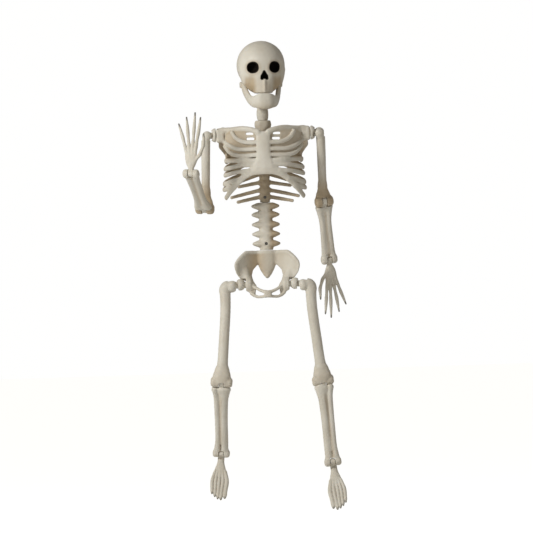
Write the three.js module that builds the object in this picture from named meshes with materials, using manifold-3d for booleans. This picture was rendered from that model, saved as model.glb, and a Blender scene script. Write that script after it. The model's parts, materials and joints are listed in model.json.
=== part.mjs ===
// A hanging, posable skeleton figure, 0.9 m tall, of moulded plastic bones on friction joints.
// Millimetres, +Z up. The figure faces -Y and its left side is +X. The origin is the flat on the
// upper back where the figure is held.
import * as THREE from "three";
import Module from "manifold-3d";
import { mergeVertices } from "three/addons/utils/BufferGeometryUtils.js";

const wasm = await Module();
wasm.setup();

// ---------------------------------------------------------------------------------------------
// Driving dimensions. Heights are above the line through both hip joints. Limbs are drawn for the
// left side, with x outwards, and mirrored for the right.

const GAP = 0.3; // between two halves of a bone
const PIN_R = 2.3;
const PIN_HOLE_R = 2.7;

const BACK_FLAT = { y: 50, z: 262, half: 8 }; // where the figure is held
const NECK = { y: 12, z: 356, seat: 316 }; // pivot of the head, and foot of the turning neck
const SHOULDER = { x: 91, z: 289.5 }; // mouth of the shoulder socket
const HIP = { x: 51 };
const KNUCKLE_REACH = 17; // from a knuckle's origin to its outer pin
const UPPER_ARM = 141;
const FOREARM = 118;
const THIGH = 191;
const SHIN = 158;
const THIGH_OUT = 9.7; // the thigh bone's shaft stands this far outside its pin
const ANKLE_IN = 5; // the ankle stands this far inside the knee

const TONGUE_HALF = 4.5; // half the thickness of every hinge tongue
const SLOT_HALF = 5.3;
const TONGUE_R = 8; // shoulder, elbow, hip and knee
const FORK_R = 10;
const SMALL_TONGUE_R = 6.3; // wrist and ankle
const SMALL_FORK_R = 8;
const FORK_CLEARANCE = 0.9; // radial room round a fork's rounded end
const HINGE_OFF = 4; // elbow and knee pivots stand this far off the shafts' axis

// The pose, in degrees. Swings, the elbow and the thigh go forwards, the knee backwards, the toes
// down, and the wrist towards the back of the hand.
const HEAD = { turn: 7, nod: 0, jaw: 0 };
const LEFT = {
  side: 1,
  swing: -21,
  lift: 2,
  elbow: 5,
  wrist: 0,
  spread: 7,
  thigh: 0,
  knee: 0,
  ankle: 50,
};
const RIGHT = {
  side: -1,
  swing: 0,
  lift: 3,
  elbow: 124,
  wrist: 56,
  spread: 5,
  thigh: 13.5,
  knee: 42,
  ankle: 19,
};
const ELBOW_TOE_OUT = 16; // the elbow's axis is turned this far about the upper arm

// ---------------------------------------------------------------------------------------------
// Solids

function solid(geometry) {
  for (const name of ["normal", "uv"]) geometry.deleteAttribute(name);
  const merged = mergeVertices(geometry, 1e-4);
  return new wasm.Manifold(
    new wasm.Mesh({
      numProp: 3,
      vertProperties: merged.attributes.position.array,
      triVerts: new Uint32Array(merged.index.array),
    }),
  );
}

function geometryOf(body) {
  const mesh = body.getMesh();
  const corners = new Float32Array(mesh.numVert * 3);
  for (let i = 0; i < mesh.numVert; i++) {
    corners.set(mesh.vertProperties.subarray(i * mesh.numProp, i * mesh.numProp + 3), i * 3);
  }
  const geometry = new THREE.BufferGeometry();
  geometry.setAttribute("position", new THREE.BufferAttribute(corners, 3));
  geometry.setIndex(new THREE.BufferAttribute(mesh.triVerts, 1));
  return geometry;
}

const join = (...bodies) => bodies.reduce((a, b) => a.add(b));
const cut = (body, ...tools) => tools.reduce((a, b) => a.subtract(b), body);

// The mirror image across the middle plane, with each face turned round to point outwards again.
function mirrored(body) {
  const geometry = geometryOf(body).scale(-1, 1, 1);
  geometry.index.array.reverse();
  return solid(geometry);
}

function turnedAboutZ(body, degrees) {
  return solid(geometryOf(body).rotateZ(THREE.MathUtils.degToRad(degrees)));
}

const bothSides = (body) => join(body, mirrored(body));

// A closed body through a row of elliptical rings, each [x, y, z, halfWidth, halfDepth]. Depth is
// measured along the depth axis, and width across it.
function loft(rings, around = 8, depth = [0, 1, 0]) {
  const last = rings.length - 1;
  const geometry = new THREE.CylinderGeometry(1, 1, 1, around, last);
  const centre = rings.map((ring) => new THREE.Vector3(ring[0], ring[1], ring[2]));
  const position = geometry.attributes.position;
  const depthAxis = new THREE.Vector3(...depth);
  for (let i = 0; i < position.count; i++) {
    const n = Math.round((0.5 - position.getY(i)) * last);
    const along = centre[Math.min(n + 1, last)].clone().sub(centre[Math.max(n - 1, 0)]).normalize();
    const deep = depthAxis.clone().addScaledVector(along, -depthAxis.dot(along)).normalize();
    const wide = deep.clone().cross(along);
    const point = centre[n]
      .clone()
      .addScaledVector(wide, position.getX(i) * rings[n][3])
      .addScaledVector(deep, position.getZ(i) * rings[n][4]);
    position.setXYZ(i, point.x, point.y, point.z);
  }
  const body = solid(geometry);
  if (body.volume() > 0) return body;
  throw new Error("a loft is inside out");
}

function ball([x, y, z], [rx, ry, rz], around = 10, down = 6) {
  return solid(new THREE.SphereGeometry(1, around, down).scale(rx, ry, rz).translate(x, y, z));
}

function block([x0, x1], [y0, y1], [z0, z1]) {
  const geometry = new THREE.BoxGeometry(x1 - x0, y1 - y0, z1 - z0);
  return solid(geometry.translate((x0 + x1) / 2, (y0 + y1) / 2, (z0 + z1) / 2));
}

// A round bar along one axis, from a to b, through the given point of the other two.
function bar(axis, radius, [a, b], [x, y, z], around = 12) {
  const geometry = new THREE.CylinderGeometry(radius, radius, b - a, around);
  if (axis === "x") geometry.rotateZ(-Math.PI / 2).translate((a + b) / 2, y, z);
  if (axis === "y") geometry.translate(x, (a + b) / 2, z);
  if (axis === "z") geometry.rotateX(Math.PI / 2).translate(x, y, (a + b) / 2);
  return solid(geometry);
}

const FAR = 400;
const inFrontOf = (y) => block([-FAR, FAR], [-FAR, y - GAP / 2], [-FAR, FAR * 2]);
const behind = (y) => block([-FAR, FAR], [y + GAP / 2, FAR], [-FAR, FAR * 2]);

// The biggest of the bodies that a cut leaves, so that no loose sliver stays.
function largest(body) {
  return body.decompose().reduce((a, b) => (b.volume() > a.volume() ? b : a));
}

const ends = (a, b) => [Math.min(a, b), Math.max(a, b)];

// A headed screw along y, from the outside of its head to its tip.
function screw([x, z], [head, tip]) {
  const into = Math.sign(tip - head);
  const shank = bar("y", 1.5, ends(head, tip), [x, 0, z], 6);
  return join(bar("y", 2.8, ends(head, head + 2 * into), [x, 0, z], 8), shank);
}

function screwHole([x, z], [head, tip], headDepth) {
  const into = Math.sign(tip - head);
  const outside = head - 20 * into;
  const shank = bar("y", 1.9, ends(outside, tip + into), [x, 0, z], 6);
  return join(bar("y", 3.2, ends(outside, head + headDepth * into), [x, 0, z], 8), shank);
}

// ---------------------------------------------------------------------------------------------
// Scene graph

const BONE = { color: 0xd8cfbd, roughness: 0.55, metalness: 0 };
const STEEL = { color: 0x9c9a94, roughness: 0.35, metalness: 1 };

const figure = new THREE.Group();
figure.name = "torso";
figure.position.set(0, -BACK_FLAT.y, -BACK_FLAT.z);

function add(group, name, body, finish = BONE) {
  const geometry = geometryOf(body).toNonIndexed();
  geometry.computeVertexNormals();
  const mesh = new THREE.Mesh(geometry, new THREE.MeshStandardMaterial(finish));
  mesh.name = name;
  group.add(mesh);
}

// A joint is a group at its pivot, turned by the pose about the axis that it keeps in userData.
function joint(parent, name, position, axis, degrees) {
  const group = new THREE.Group();
  group.name = name;
  group.position.set(...position);
  group.userData.axis = axis;
  group.rotateOnAxis(new THREE.Vector3(...axis), THREE.MathUtils.degToRad(degrees));
  parent.add(group);
  return group;
}

const FORWARDS = [-1, 0, 0];
const BACKWARDS = [1, 0, 0];

// ---------------------------------------------------------------------------------------------
// Head, about the pivot on top of the neck

const SKULL_WALL = 2.6;
const SKULL_SPLIT = 12; // the face shell ends here, behind the ears
const JAW_PIVOT = { y: 10, z: 30 };
const JAW_SEAT = 32.4; // the skull's flat that the jaw's arm turns against
const JAW_ARM = 5; // thickness of that arm

// The head's outer form, shrunk by an allowance all round.
function headForm(less) {
  const cranium = ball([0, 6, 64], [46 - less, 56 - less, 47 - less], 16, 10);
  const face = loft(
    [
      [0, -20, 70 - less, 37 - less, 29 - less],
      [0, -22, 56, 36 - less, 29 - less],
      [0, -22, 42, 31 - less, 28 - less],
      [0, -22, 28, 23 - less, 25 - less],
      [0, -22, 12 + less, 16 - less, 21 - less],
    ],
    12,
  );
  return join(cranium, face);
}

function sockets(more) {
  const eye = ball([20.5, -48, 61], [11 + more, 17 + more, 11.5 + more]);
  const nose = loft(
    [
      [0, -48, 53 + more, 2.5 + more, 12 + more],
      [0, -48, 44, 6 + more, 12 + more],
      [0, -48, 36 - more, 8 + more, 12 + more],
    ],
    8,
  );
  return join(bothSides(eye), nose);
}

function skull(group) {
  const { y, z } = JAW_PIVOT;
  const base = block([-60, 60], [-60, 80], [-10, 24]);
  const jawBoss = bothSides(bar("x", 6, [22, 34], [0, y, z], 12));
  const hollow = cut(headForm(SKULL_WALL), sockets(SKULL_WALL), base, jawBoss);
  const cheeks = bothSides(join(bar("x", 8, [7.6, 12], [0, 0, 0]), block([7.6, 12], [-8, 8], [0, 25])));
  const neckRoom = block([-7.6, 7.6], [-12, 44], [-10, 30]);
  const jawRoom = bothSides(block([JAW_SEAT, 60], [y - 12, y + 12], [-10, z + 11]));
  const whole = cut(
    join(cut(headForm(0), hollow), cheeks, jawBoss),
    sockets(0),
    neckRoom,
    jawRoom,
    bar("x", PIN_HOLE_R, [-20, 20], [0, 0, 0]),
    bar("x", 1.9, [-60, 60], [0, y, z], 8),
  );
  add(group, "skull_face", largest(whole.intersect(inFrontOf(SKULL_SPLIT))));
  add(group, "skull_back", largest(whole.intersect(behind(SKULL_SPLIT))));
  add(group, "nod_pin", bar("x", PIN_R, [-11.5, 11.5], [0, 0, 0], 8), STEEL);
  const pin = join(bar("x", 1.5, [24, 39], [0, y, z], 8), bar("x", 3, [38.4, 40], [0, y, z], 12));
  add(group, "left_jaw_pin", pin, STEEL);
  add(group, "right_jaw_pin", mirrored(pin), STEEL);
}

// The jaw, about its pivot: two upright arms and a bow round to the chin.
function jaw(group) {
  const armX = JAW_SEAT + 0.6 + JAW_ARM / 2;
  const arm = loft([
    [armX, 0, 8, JAW_ARM / 2, 6],
    [armX, 0, -8, JAW_ARM / 2, 7],
    [armX - 2, -5, -24, 3, 10],
    [armX - 5, -10, -36, 3, 7],
  ]);
  const bow = loft(
    [
      [0, -50, -39, 5, 10],
      [12, -47, -39, 5, 10],
      [22, -32, -37, 4, 9],
      [31, -8, -32, 3, 8],
    ],
    6,
    [0, 0, 1],
  );
  const half = join(arm, bow);
  add(group, "jaw", cut(bothSides(half), bar("x", 1.9, [-60, 60], [0, 0, 0], 8)));
}

// The neck, about the nod pivot at its top: a tongue, a column and a plug into the collar.
function neck(group) {
  const seat = NECK.seat - NECK.z;
  const column = loft([
    [0, 0, -15, 8, 8],
    [0, 0, -20, 11, 10],
    [0, 0, seat + 6, 11, 10],
    [0, 0, seat + GAP, 9, 9],
  ]);
  const tongue = join(bar("x", TONGUE_R, [-7, 7], [0, 0, 0]), block([-7, 7], [-6, 6], [-17, 0]));
  const plug = bar("z", 6.5, [seat - 14, seat + 2], [0, 0, 0]);
  add(group, "neck", cut(join(column, tongue, plug), bar("x", PIN_HOLE_R, [-9, 9], [0, 0, 0])));
}

// ---------------------------------------------------------------------------------------------
// Torso

const CHEST = { half: 76, front: 45, back: 40, midY: 2 }; // plan of the rib cage
const SPINE_Y = 31;
const CHEST_SPINE_FOOT = 158;
const SPINE_PEG = { half: 6, top: 178 };
// Ribs: heights at the breastbone end, at the side and at the spine, and where the front end starts,
// in degrees round from the middle of the front.
const RIBS = [
  { front: 272, side: 250, back: 284, start: 12 },
  { front: 260, side: 237, back: 270, start: 12 },
  { front: 246, side: 222, back: 256, start: 12 },
  { front: 229, side: 207, back: 241, start: 12 },
  { front: 212, side: 192, back: 226, start: 32 },
  { front: 196, side: 178, back: 211, start: 48 },
];
const FLOATING_RIBS = [
  { z: 196, reach: 50, drop: 9 },
  { z: 182, reach: 62, drop: 15 },
  { z: 167, reach: 48, drop: 8 },
];

// A point of the rib cage's plan, by its angle round from the middle of the front.
function chestPoint(degrees, z) {
  const angle = THREE.MathUtils.degToRad(degrees);
  const deep = degrees < 90 ? CHEST.front : CHEST.back;
  return [CHEST.half * Math.sin(angle), CHEST.midY - deep * Math.cos(angle), z];
}

// A band round the rib cage between two angles, easing from one height to the other.
function ribBand([from, to], [zFrom, zTo], [thick, tall], steps = 3) {
  const rings = [];
  for (let i = 0; i <= steps; i++) {
    const t = i / steps;
    const z = zFrom + (zTo - zFrom) * t ** 1.4;
    rings.push([...chestPoint(from + (to - from) * t, z), thick, tall]);
  }
  return loft(rings, 5, [0, 0, 1]);
}

function shoulderBlock() {
  const { x, z } = SHOULDER;
  const outside = join(
    block([x - 17, x], [-12, 12], [z - 14, z + 13]),
    bar("x", 13.4, [x - 17, x], [0, 0, z - 0.5]),
  );
  const room = join(
    bar("x", 6.5, [x - 20, x + 1], [0, 0, z]),
    bar("x", 9.5, [x - 16.5, x - 11.5], [0, 0, z]),
  );
  return { outside, room };
}

const CHEST_SCREW = { at: [SHOULDER.x - 5, SHOULDER.z + 10], reach: [12, -10] };

function ribcageFront(group) {
  const shoulder = shoulderBlock();
  const breastbone = loft([
    [0, -41, 291, 12, 4],
    [0, -43, 280, 19, 5],
    [0, -43, 262, 16, 5],
    [0, -43, 235, 16, 5],
    [0, -42, 212, 14, 4],
    [0, -40, 203, 6, 3],
  ]);
  const collarbone = loft(
    [
      [12, -41, 284, 5, 5],
      [30, -36, 296, 4, 4],
      [52, -24, 300, 4, 4],
      [80, -8, 298, 5, 5],
    ],
    6,
    [0, 0, 1],
  );
  const arch = loft(
    [
      [...chestPoint(10, 216), 3.5, 4],
      [...chestPoint(30, 208), 3.5, 4],
      [...chestPoint(48, 192), 3.5, 4],
      [...chestPoint(68, 172), 3, 4],
    ],
    6,
    [0, 0, 1],
  );
  const ribs = RIBS.map((rib) => ribBand([rib.start, 92], [rib.front, rib.side], [3, 4]));
  const half = join(collarbone, arch, ...ribs, shoulder.outside);
  const hole = screwHole(CHEST_SCREW.at, CHEST_SCREW.reach, 2.4);
  const body = cut(join(breastbone, bothSides(half)), bothSides(join(shoulder.room, hole)));
  add(group, "ribcage_front", largest(body.intersect(inFrontOf(0))));
  const fixing = screw(CHEST_SCREW.at, CHEST_SCREW.reach);
  add(group, "left_chest_screw", fixing, STEEL);
  add(group, "right_chest_screw", mirrored(fixing), STEEL);
}

function shoulderBlade() {
  const blade = loft(
    [
      [78, 12, 292, 9, 3],
      [66, 24, 268, 20, 3],
      [56, 32, 240, 14, 3],
      [50, 36, 208, 5, 2.5],
    ],
    6,
  );
  const ridge = loft(
    [
      [8, 38, 280, 4, 5],
      [40, 40, 284, 4, 5],
      [80, 10, 293, 4, 6],
    ],
    6,
    [0, 0, 1],
  );
  return join(blade, ridge);
}

// The middle of the back: a knobbly column with a collar for the neck on top.
function chestSpine() {
  const rings = [];
  const pitch = 26;
  for (let z = CHEST_SPINE_FOOT; z < 290; z += pitch) {
    rings.push([0, SPINE_Y, z, 11.5, 12]);
    rings.push([0, SPINE_Y, z + pitch / 2, 9.5, 10.5]);
  }
  const collar = loft([
    [0, NECK.y, NECK.seat, 16, 12],
    [0, NECK.y, NECK.seat - 8, 17, 13],
    [0, NECK.y + 7, NECK.seat - 24, 13, 13],
    [0, SPINE_Y - 4, NECK.seat - 42, 10, 10],
  ]);
  const { y, z, half } = BACK_FLAT;
  const pad = block([-half, half], [SPINE_Y, y], [z - half, z + half]);
  return join(loft(rings), collar, pad);
}

function ribcageBack(group) {
  const shoulder = shoulderBlock();
  const ribs = RIBS.map((rib) => ribBand([176, 88], [rib.back, rib.side], [3, 4]));
  const floating = FLOATING_RIBS.map(({ z, reach, drop }) =>
    loft(
      [
        [6, SPINE_Y, z, 3, 4],
        [reach * 0.5, SPINE_Y + 2, z - drop * 0.35, 3, 3.5],
        [reach, SPINE_Y - 10, z - drop, 2.5, 3],
      ],
      5,
      [0, 0, 1],
    ),
  );
  const half = join(...ribs, ...floating, shoulder.outside, shoulderBlade());
  const pegRoom = block(
    [-SPINE_PEG.half - GAP, SPINE_PEG.half + GAP],
    [SPINE_Y - SPINE_PEG.half - GAP, SPINE_Y + SPINE_PEG.half + GAP],
    [CHEST_SPINE_FOOT - 8, SPINE_PEG.top + GAP],
  );
  const body = cut(
    join(chestSpine(), bothSides(half)),
    bothSides(join(shoulder.room, screwHole(CHEST_SCREW.at, CHEST_SCREW.reach, 2.4))),
    bar("z", 7, [NECK.seat - 15, NECK.seat + 5], [0, NECK.y, 0]),
    pegRoom,
    screwHole(UPPER_SPINE_SCREW.at, UPPER_SPINE_SCREW.reach, 2.6),
  );
  add(group, "ribcage_back", largest(body.intersect(behind(0))));
}

const LUMBAR = { foot: 66, y: 28, flares: [151, 134.5, 115.5, 97, 78.5] };
const UPPER_SPINE_SCREW = { at: [0, 168], reach: [20, 40] };
const LOWER_SPINE_SCREW = { at: [0, 78.5], reach: [17, 38] };
const PELVIS_PEG_TOP = 90;

// The small of the back: five winged vertebrae in one moulding, pegged up into the chest.
function lumbarSpine(group) {
  const rings = [[0, LUMBAR.y, CHEST_SPINE_FOOT - GAP, 13, 11]];
  for (const z of LUMBAR.flares) {
    rings.push([0, LUMBAR.y, z + 4, 17, 11]);
    rings.push([0, LUMBAR.y, z, 27, 12]);
    rings.push([0, LUMBAR.y, z - 4, 17, 11]);
    rings.push([0, LUMBAR.y, z - 8.5, 14, 11]);
  }
  const peg = block(
    [-SPINE_PEG.half, SPINE_PEG.half],
    [SPINE_Y - SPINE_PEG.half, SPINE_Y + SPINE_PEG.half],
    [CHEST_SPINE_FOOT - 4, SPINE_PEG.top],
  );
  const pegRoom = block([-6.3, 6.3], [LUMBAR.y - 6.3, LUMBAR.y + 6.3], [60, PELVIS_PEG_TOP + GAP]);
  const body = cut(
    join(loft(rings, 12), peg),
    pegRoom,
    screwHole(UPPER_SPINE_SCREW.at, UPPER_SPINE_SCREW.reach, 2.6),
    screwHole(LOWER_SPINE_SCREW.at, LOWER_SPINE_SCREW.reach, 2.6),
  );
  add(group, "lumbar_spine", body);
  add(group, "upper_spine_screw", screw(UPPER_SPINE_SCREW.at, UPPER_SPINE_SCREW.reach), STEEL);
  add(group, "lower_spine_screw", screw(LOWER_SPINE_SCREW.at, LOWER_SPINE_SCREW.reach), STEEL);
}

const HIP_SOCKET = { mouth: HIP.x - 9, plugR: 6, roomR: 6.5 };

function pelvis(group) {
  const sacrum = loft([
    [0, 26, 65, 19, 10],
    [0, 26, 50, 18, 10],
    [0, 27, 30, 10, 8],
    [0, 24, 13, 4, 5],
  ]);
  const wing = loft(
    [
      [13, 24, 56, 5, 9],
      [30, 17, 50, 5, 17],
      [46, 8, 44, 4.5, 21],
      [61, -4, 36, 3, 13],
    ],
    10,
    [0, 0, 1],
  );
  const mouth = HIP_SOCKET.mouth;
  const hipBlock = bar("x", 12.5, [mouth - 13, mouth], [0, 0, 0]);
  const stalk = loft(
    [
      [38, 8, 34, 10, 8],
      [35, 2, 6, 9, 9],
    ],
    10,
  );
  const upperPubis = loft(
    [
      [32, -4, -2, 5, 5],
      [18, -14, -9, 4, 4.5],
      [0, -17, -14, 4, 5],
    ],
    6,
    [0, 0, 1],
  );
  const lowerPubis = loft(
    [
      [34, 0, -6, 5, 5],
      [24, -6, -21, 4, 4],
      [12, -13, -24, 4, 4],
      [0, -17, -20, 4, 5],
    ],
    6,
    [0, 0, 1],
  );
  const peg = block([-6, 6], [LUMBAR.y - 6, LUMBAR.y + 6], [58, PELVIS_PEG_TOP]);
  const half = join(wing, hipBlock, stalk, upperPubis, lowerPubis);
  const body = cut(
    join(sacrum, peg, bothSides(half)),
    bothSides(bar("x", HIP_SOCKET.roomR, [mouth - 12, mouth + 20], [0, 0, 0])),
    screwHole(LOWER_SPINE_SCREW.at, LOWER_SPINE_SCREW.reach, 2.6),
    block([-40, 40], [10, 50], [LUMBAR.foot - 0.8, LUMBAR.foot + 4]).subtract(
      block([-6, 6], [LUMBAR.y - 6, LUMBAR.y + 6], [50, PELVIS_PEG_TOP]),
    ),
  );
  add(group, "pelvis", body);
}

// ---------------------------------------------------------------------------------------------
// Limbs

// The tongue on a knuckle's outer side, and the hole of its pin.
function knuckleTongue(stemFrom) {
  return join(
    block([stemFrom, KNUCKLE_REACH], [-TONGUE_HALF, TONGUE_HALF], [-6, 6]),
    bar("y", TONGUE_R, [-TONGUE_HALF, TONGUE_HALF], [KNUCKLE_REACH, 0, 0]),
  );
}

const knuckleHole = () => bar("y", PIN_HOLE_R, [-20, 20], [KNUCKLE_REACH, 0, 0], 8);
const knucklePin = () => bar("y", PIN_R, [-9.8, 9.8], [0, 0, 0], 8);

function shoulderKnuckle() {
  const plug = join(bar("x", 6, [-16, 1], [0, 0, 0]), bar("x", 9, [-16, -12], [0, 0, 0]));
  const disc = bar("x", 11, [GAP, 6], [0, 0, 0], 16);
  return cut(join(plug, disc, knuckleTongue(5)), knuckleHole());
}

function hipKnuckle() {
  const plug = bar("x", HIP_SOCKET.plugR, [-20, 0], [0, 0, 0]);
  const dome = ball([0, 0, 0], [8, 11, 11], 12, 8);
  return cut(join(plug, dome, knuckleTongue(5)), knuckleHole());
}

// A hinge across x: the fork's rounded end, the slot in it, and the tongue that fills the slot.
function forkEnd(radius, half, [x, y, z]) {
  return bar("x", radius, [x - half, x + half], [x, y, z], 14);
}

function forkSlot(tongueRadius, [x, y, z]) {
  const top = z + tongueRadius + FORK_CLEARANCE;
  return block([x - SLOT_HALF, x + SLOT_HALF], [y - 40, y + 40], [z - 40, top]);
}

function hingeTongue(radius, length, sideways) {
  return join(
    bar("x", radius, [-TONGUE_HALF, TONGUE_HALF], [0, 0, 0]),
    block([-TONGUE_HALF, TONGUE_HALF], sideways, [-length, 0]),
  );
}

const pinHole = ([x, y, z]) => bar("x", PIN_HOLE_R, [x - 40, x + 40], [x, y, z], 8);
const hingePin = (half, [x, y, z]) => bar("x", PIN_R, [x - half, x + half], [x, y, z], 8);

const ELBOW = [0, -HINGE_OFF, -UPPER_ARM];
const ELBOW_HALF = 17;

function upperArm() {
  const head = cut(ball([0, 0, 0], [10.2, 10.2, 10.2], 12, 8), block([-20, -6], [-20, 20], [-20, 20]));
  const shaft = loft([
    [1, 0, -5, 6.8, 9],
    [0, 0, -25, 8, 7.5],
    [0, 0, -60, 8, 7],
    [0, 0.5, 39 - UPPER_ARM, 8, 7],
    [0, 1, 23 - UPPER_ARM, 9.5, 6],
    [0, 1, 13 - UPPER_ARM, 14, 5.5],
    [0, 0, 3 - UPPER_ARM, 16, 5.5],
  ]);
  const whole = join(shaft, forkEnd(FORK_R, ELBOW_HALF, ELBOW));
  const lower = cut(whole, forkSlot(TONGUE_R, ELBOW), pinHole(ELBOW));
  const knuckleSlot = block([-20, 20], [-SLOT_HALF, SLOT_HALF], [-TONGUE_R - FORK_CLEARANCE, 20]);
  return cut(
    join(head, turnedAboutZ(lower, ELBOW_TOE_OUT)),
    knuckleSlot,
    bar("y", PIN_HOLE_R, [-20, 20], [0, 0, 0], 8),
  );
}

const WRIST = [0, 0, -FOREARM];
const WRIST_HALF = 15;

function forearm() {
  const shaft = loft([
    [0, HINGE_OFF, -10, 17, 6.5],
    [0, HINGE_OFF, -19, 15.5, 6.5],
    [0, HINGE_OFF, -34, 11.5, 6.5],
    [0, 2, 50 - FOREARM, 12, 6],
    [0, 1, 25 - FOREARM, 13, 6],
    [0, 0, 12 - FOREARM, 14, 6.5],
    [0, 0, -FOREARM, 14.5, 6.5],
  ]);
  const saddle = bar("x", FORK_R + FORK_CLEARANCE, [-30, 30], [0, 0, 0], 16);
  const tongue = hingeTongue(TONGUE_R, 15, [-1, 7.5]);
  const body = join(cut(shaft, saddle), tongue, forkEnd(SMALL_FORK_R, WRIST_HALF, WRIST));
  return cut(body, forkSlot(SMALL_TONGUE_R, WRIST), pinHole(WRIST), pinHole([0, 0, 0]));
}

// Fingers, thumb first: where each leaves the palm and where its tip is, as [x, z].
const FINGERS = [
  { root: [-7, -24], knuckle: [-18, -50], tip: [-22.5, -73] },
  { root: [-5, -40], knuckle: [-13, -76], tip: [-17, -107] },
  { root: [0, -40], knuckle: [-4, -80], tip: [-6, -116] },
  { root: [5, -40], knuckle: [8, -76], tip: [11, -107] },
  { root: [8, -38], knuckle: [18, -68], tip: [26, -94] },
];

function hand() {
  const palm = loft([
    [0, 0, -11, 6, 4.5],
    [0, 0, -22, 12, 5],
    [0, 0, -38, 13.5, 5],
    [0, 0, -50, 12, 4],
  ]);
  const fingers = FINGERS.map(({ root, knuckle, tip }) =>
    loft(
      [
        [root[0], 0, root[1], 3, 3.5],
        [knuckle[0], -1, knuckle[1], 2.8, 3],
        [tip[0], 1, tip[1], 1.6, 1.8],
      ],
      6,
    ),
  );
  const body = join(palm, ...fingers, hingeTongue(SMALL_TONGUE_R, 14, [-4, 4]));
  return cut(body, pinHole([0, 0, 0]));
}

const KNEE = [THIGH_OUT, HINGE_OFF, -THIGH];
const KNEE_HALF = 20;

function thigh() {
  const fork = bar("y", 9.6, [-10.5, 10.5], [0, 0, 0], 14);
  const shoulder = loft(
    [
      [0, 0, -4, 10.5, 5],
      [12, 0, -3, 10.5, 11],
      [20, 0, -4, 7, 9],
    ],
    10,
    [0, 0, 1],
  );
  const shaft = loft([
    [THIGH_OUT + 2, 0, -4, 10, 9],
    [THIGH_OUT, 0, -28, 9.5, 9],
    [THIGH_OUT, 0, -65, 9.8, 9],
    [THIGH_OUT, 0, 77 - THIGH, 9.8, 9],
    [THIGH_OUT, 0, 37 - THIGH, 10, 9],
    [THIGH_OUT, 0, 19 - THIGH, 14, 9],
    [THIGH_OUT, 1, 7 - THIGH, 19, 9],
  ]);
  const knuckleSlot = block([-20, 9.4], [-SLOT_HALF, SLOT_HALF], [-TONGUE_R - FORK_CLEARANCE, 20]);
  return cut(
    join(fork, shoulder, shaft, forkEnd(FORK_R, KNEE_HALF, KNEE)),
    knuckleSlot,
    bar("y", PIN_HOLE_R, [-20, 20], [0, 0, 0], 8),
    forkSlot(TONGUE_R, KNEE),
    pinHole(KNEE),
  );
}

const ANKLE = [-ANKLE_IN, 0, -SHIN];
const ANKLE_HALF = 15;

function shin() {
  const shaft = loft([
    [0, -HINGE_OFF, -10, 19.5, 9],
    [0, -HINGE_OFF, -20, 17, 8.5],
    [-1, -HINGE_OFF, -34, 13.5, 8],
    [-3, -2, -80, 13, 7],
    [-ANKLE_IN, -1, 30 - SHIN, 12.6, 6.5],
    [-ANKLE_IN, 0, 14 - SHIN, 13.4, 7],
    [-ANKLE_IN, 0, -SHIN, 14.5, 7],
  ]);
  const saddle = bar("x", FORK_R + FORK_CLEARANCE, [-30, 30], [0, 0, 0], 16);
  const tongue = hingeTongue(TONGUE_R, 15, [-7.5, 1]);
  const body = join(cut(shaft, saddle), tongue, forkEnd(SMALL_FORK_R, ANKLE_HALF, ANKLE));
  return cut(body, forkSlot(SMALL_TONGUE_R, ANKLE), pinHole(ANKLE), pinHole([0, 0, 0]));
}

// The foot, about the ankle and level: a heel, an arch and five toes moulded together.
function foot() {
  const sole = loft(
    [
      [0, 15, -15, 8, 5],
      [0, 4, -15, 10, 6],
      [0, -20, -15, 10, 5.5],
      [0, -44, -17, 13.5, 4.5],
      [0, -70, -19, 18, 4],
      [0, -92, -20, 12, 3],
    ],
    10,
    [0, 0, 1],
  );
  return cut(join(sole, hingeTongue(SMALL_TONGUE_R, 13, [-4, 4])), pinHole([0, 0, 0]));
}

function arm({ side, swing, lift, elbow, wrist }) {
  const name = side > 0 ? "left" : "right";
  const sided = (body) => (side > 0 ? body : mirrored(body));

  const socket = [side * SHOULDER.x, 0, SHOULDER.z];
  const knuckle = joint(figure, `${name}_shoulder_swing`, socket, FORWARDS, swing);
  add(knuckle, `${name}_shoulder_knuckle`, sided(shoulderKnuckle()));

  const upper = joint(knuckle, `${name}_shoulder_lift`, [side * KNUCKLE_REACH, 0, 0], [0, -side, 0], lift);
  add(upper, `${name}_upper_arm`, sided(upperArm()));
  add(upper, `${name}_shoulder_pin`, knucklePin(), STEEL);

  const turned = new THREE.Group();
  turned.rotation.z = side * THREE.MathUtils.degToRad(ELBOW_TOE_OUT);
  upper.add(turned);
  add(turned, `${name}_elbow_pin`, hingePin(ELBOW_HALF - 0.5, ELBOW), STEEL);

  const lower = joint(turned, `${name}_elbow`, ELBOW, FORWARDS, elbow);
  add(lower, `${name}_forearm`, sided(forearm()));
  add(lower, `${name}_wrist_pin`, hingePin(WRIST_HALF - 0.5, WRIST), STEEL);

  const palm = joint(lower, `${name}_wrist`, WRIST, FORWARDS, wrist);
  add(palm, `${name}_hand`, sided(hand()));
}

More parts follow.
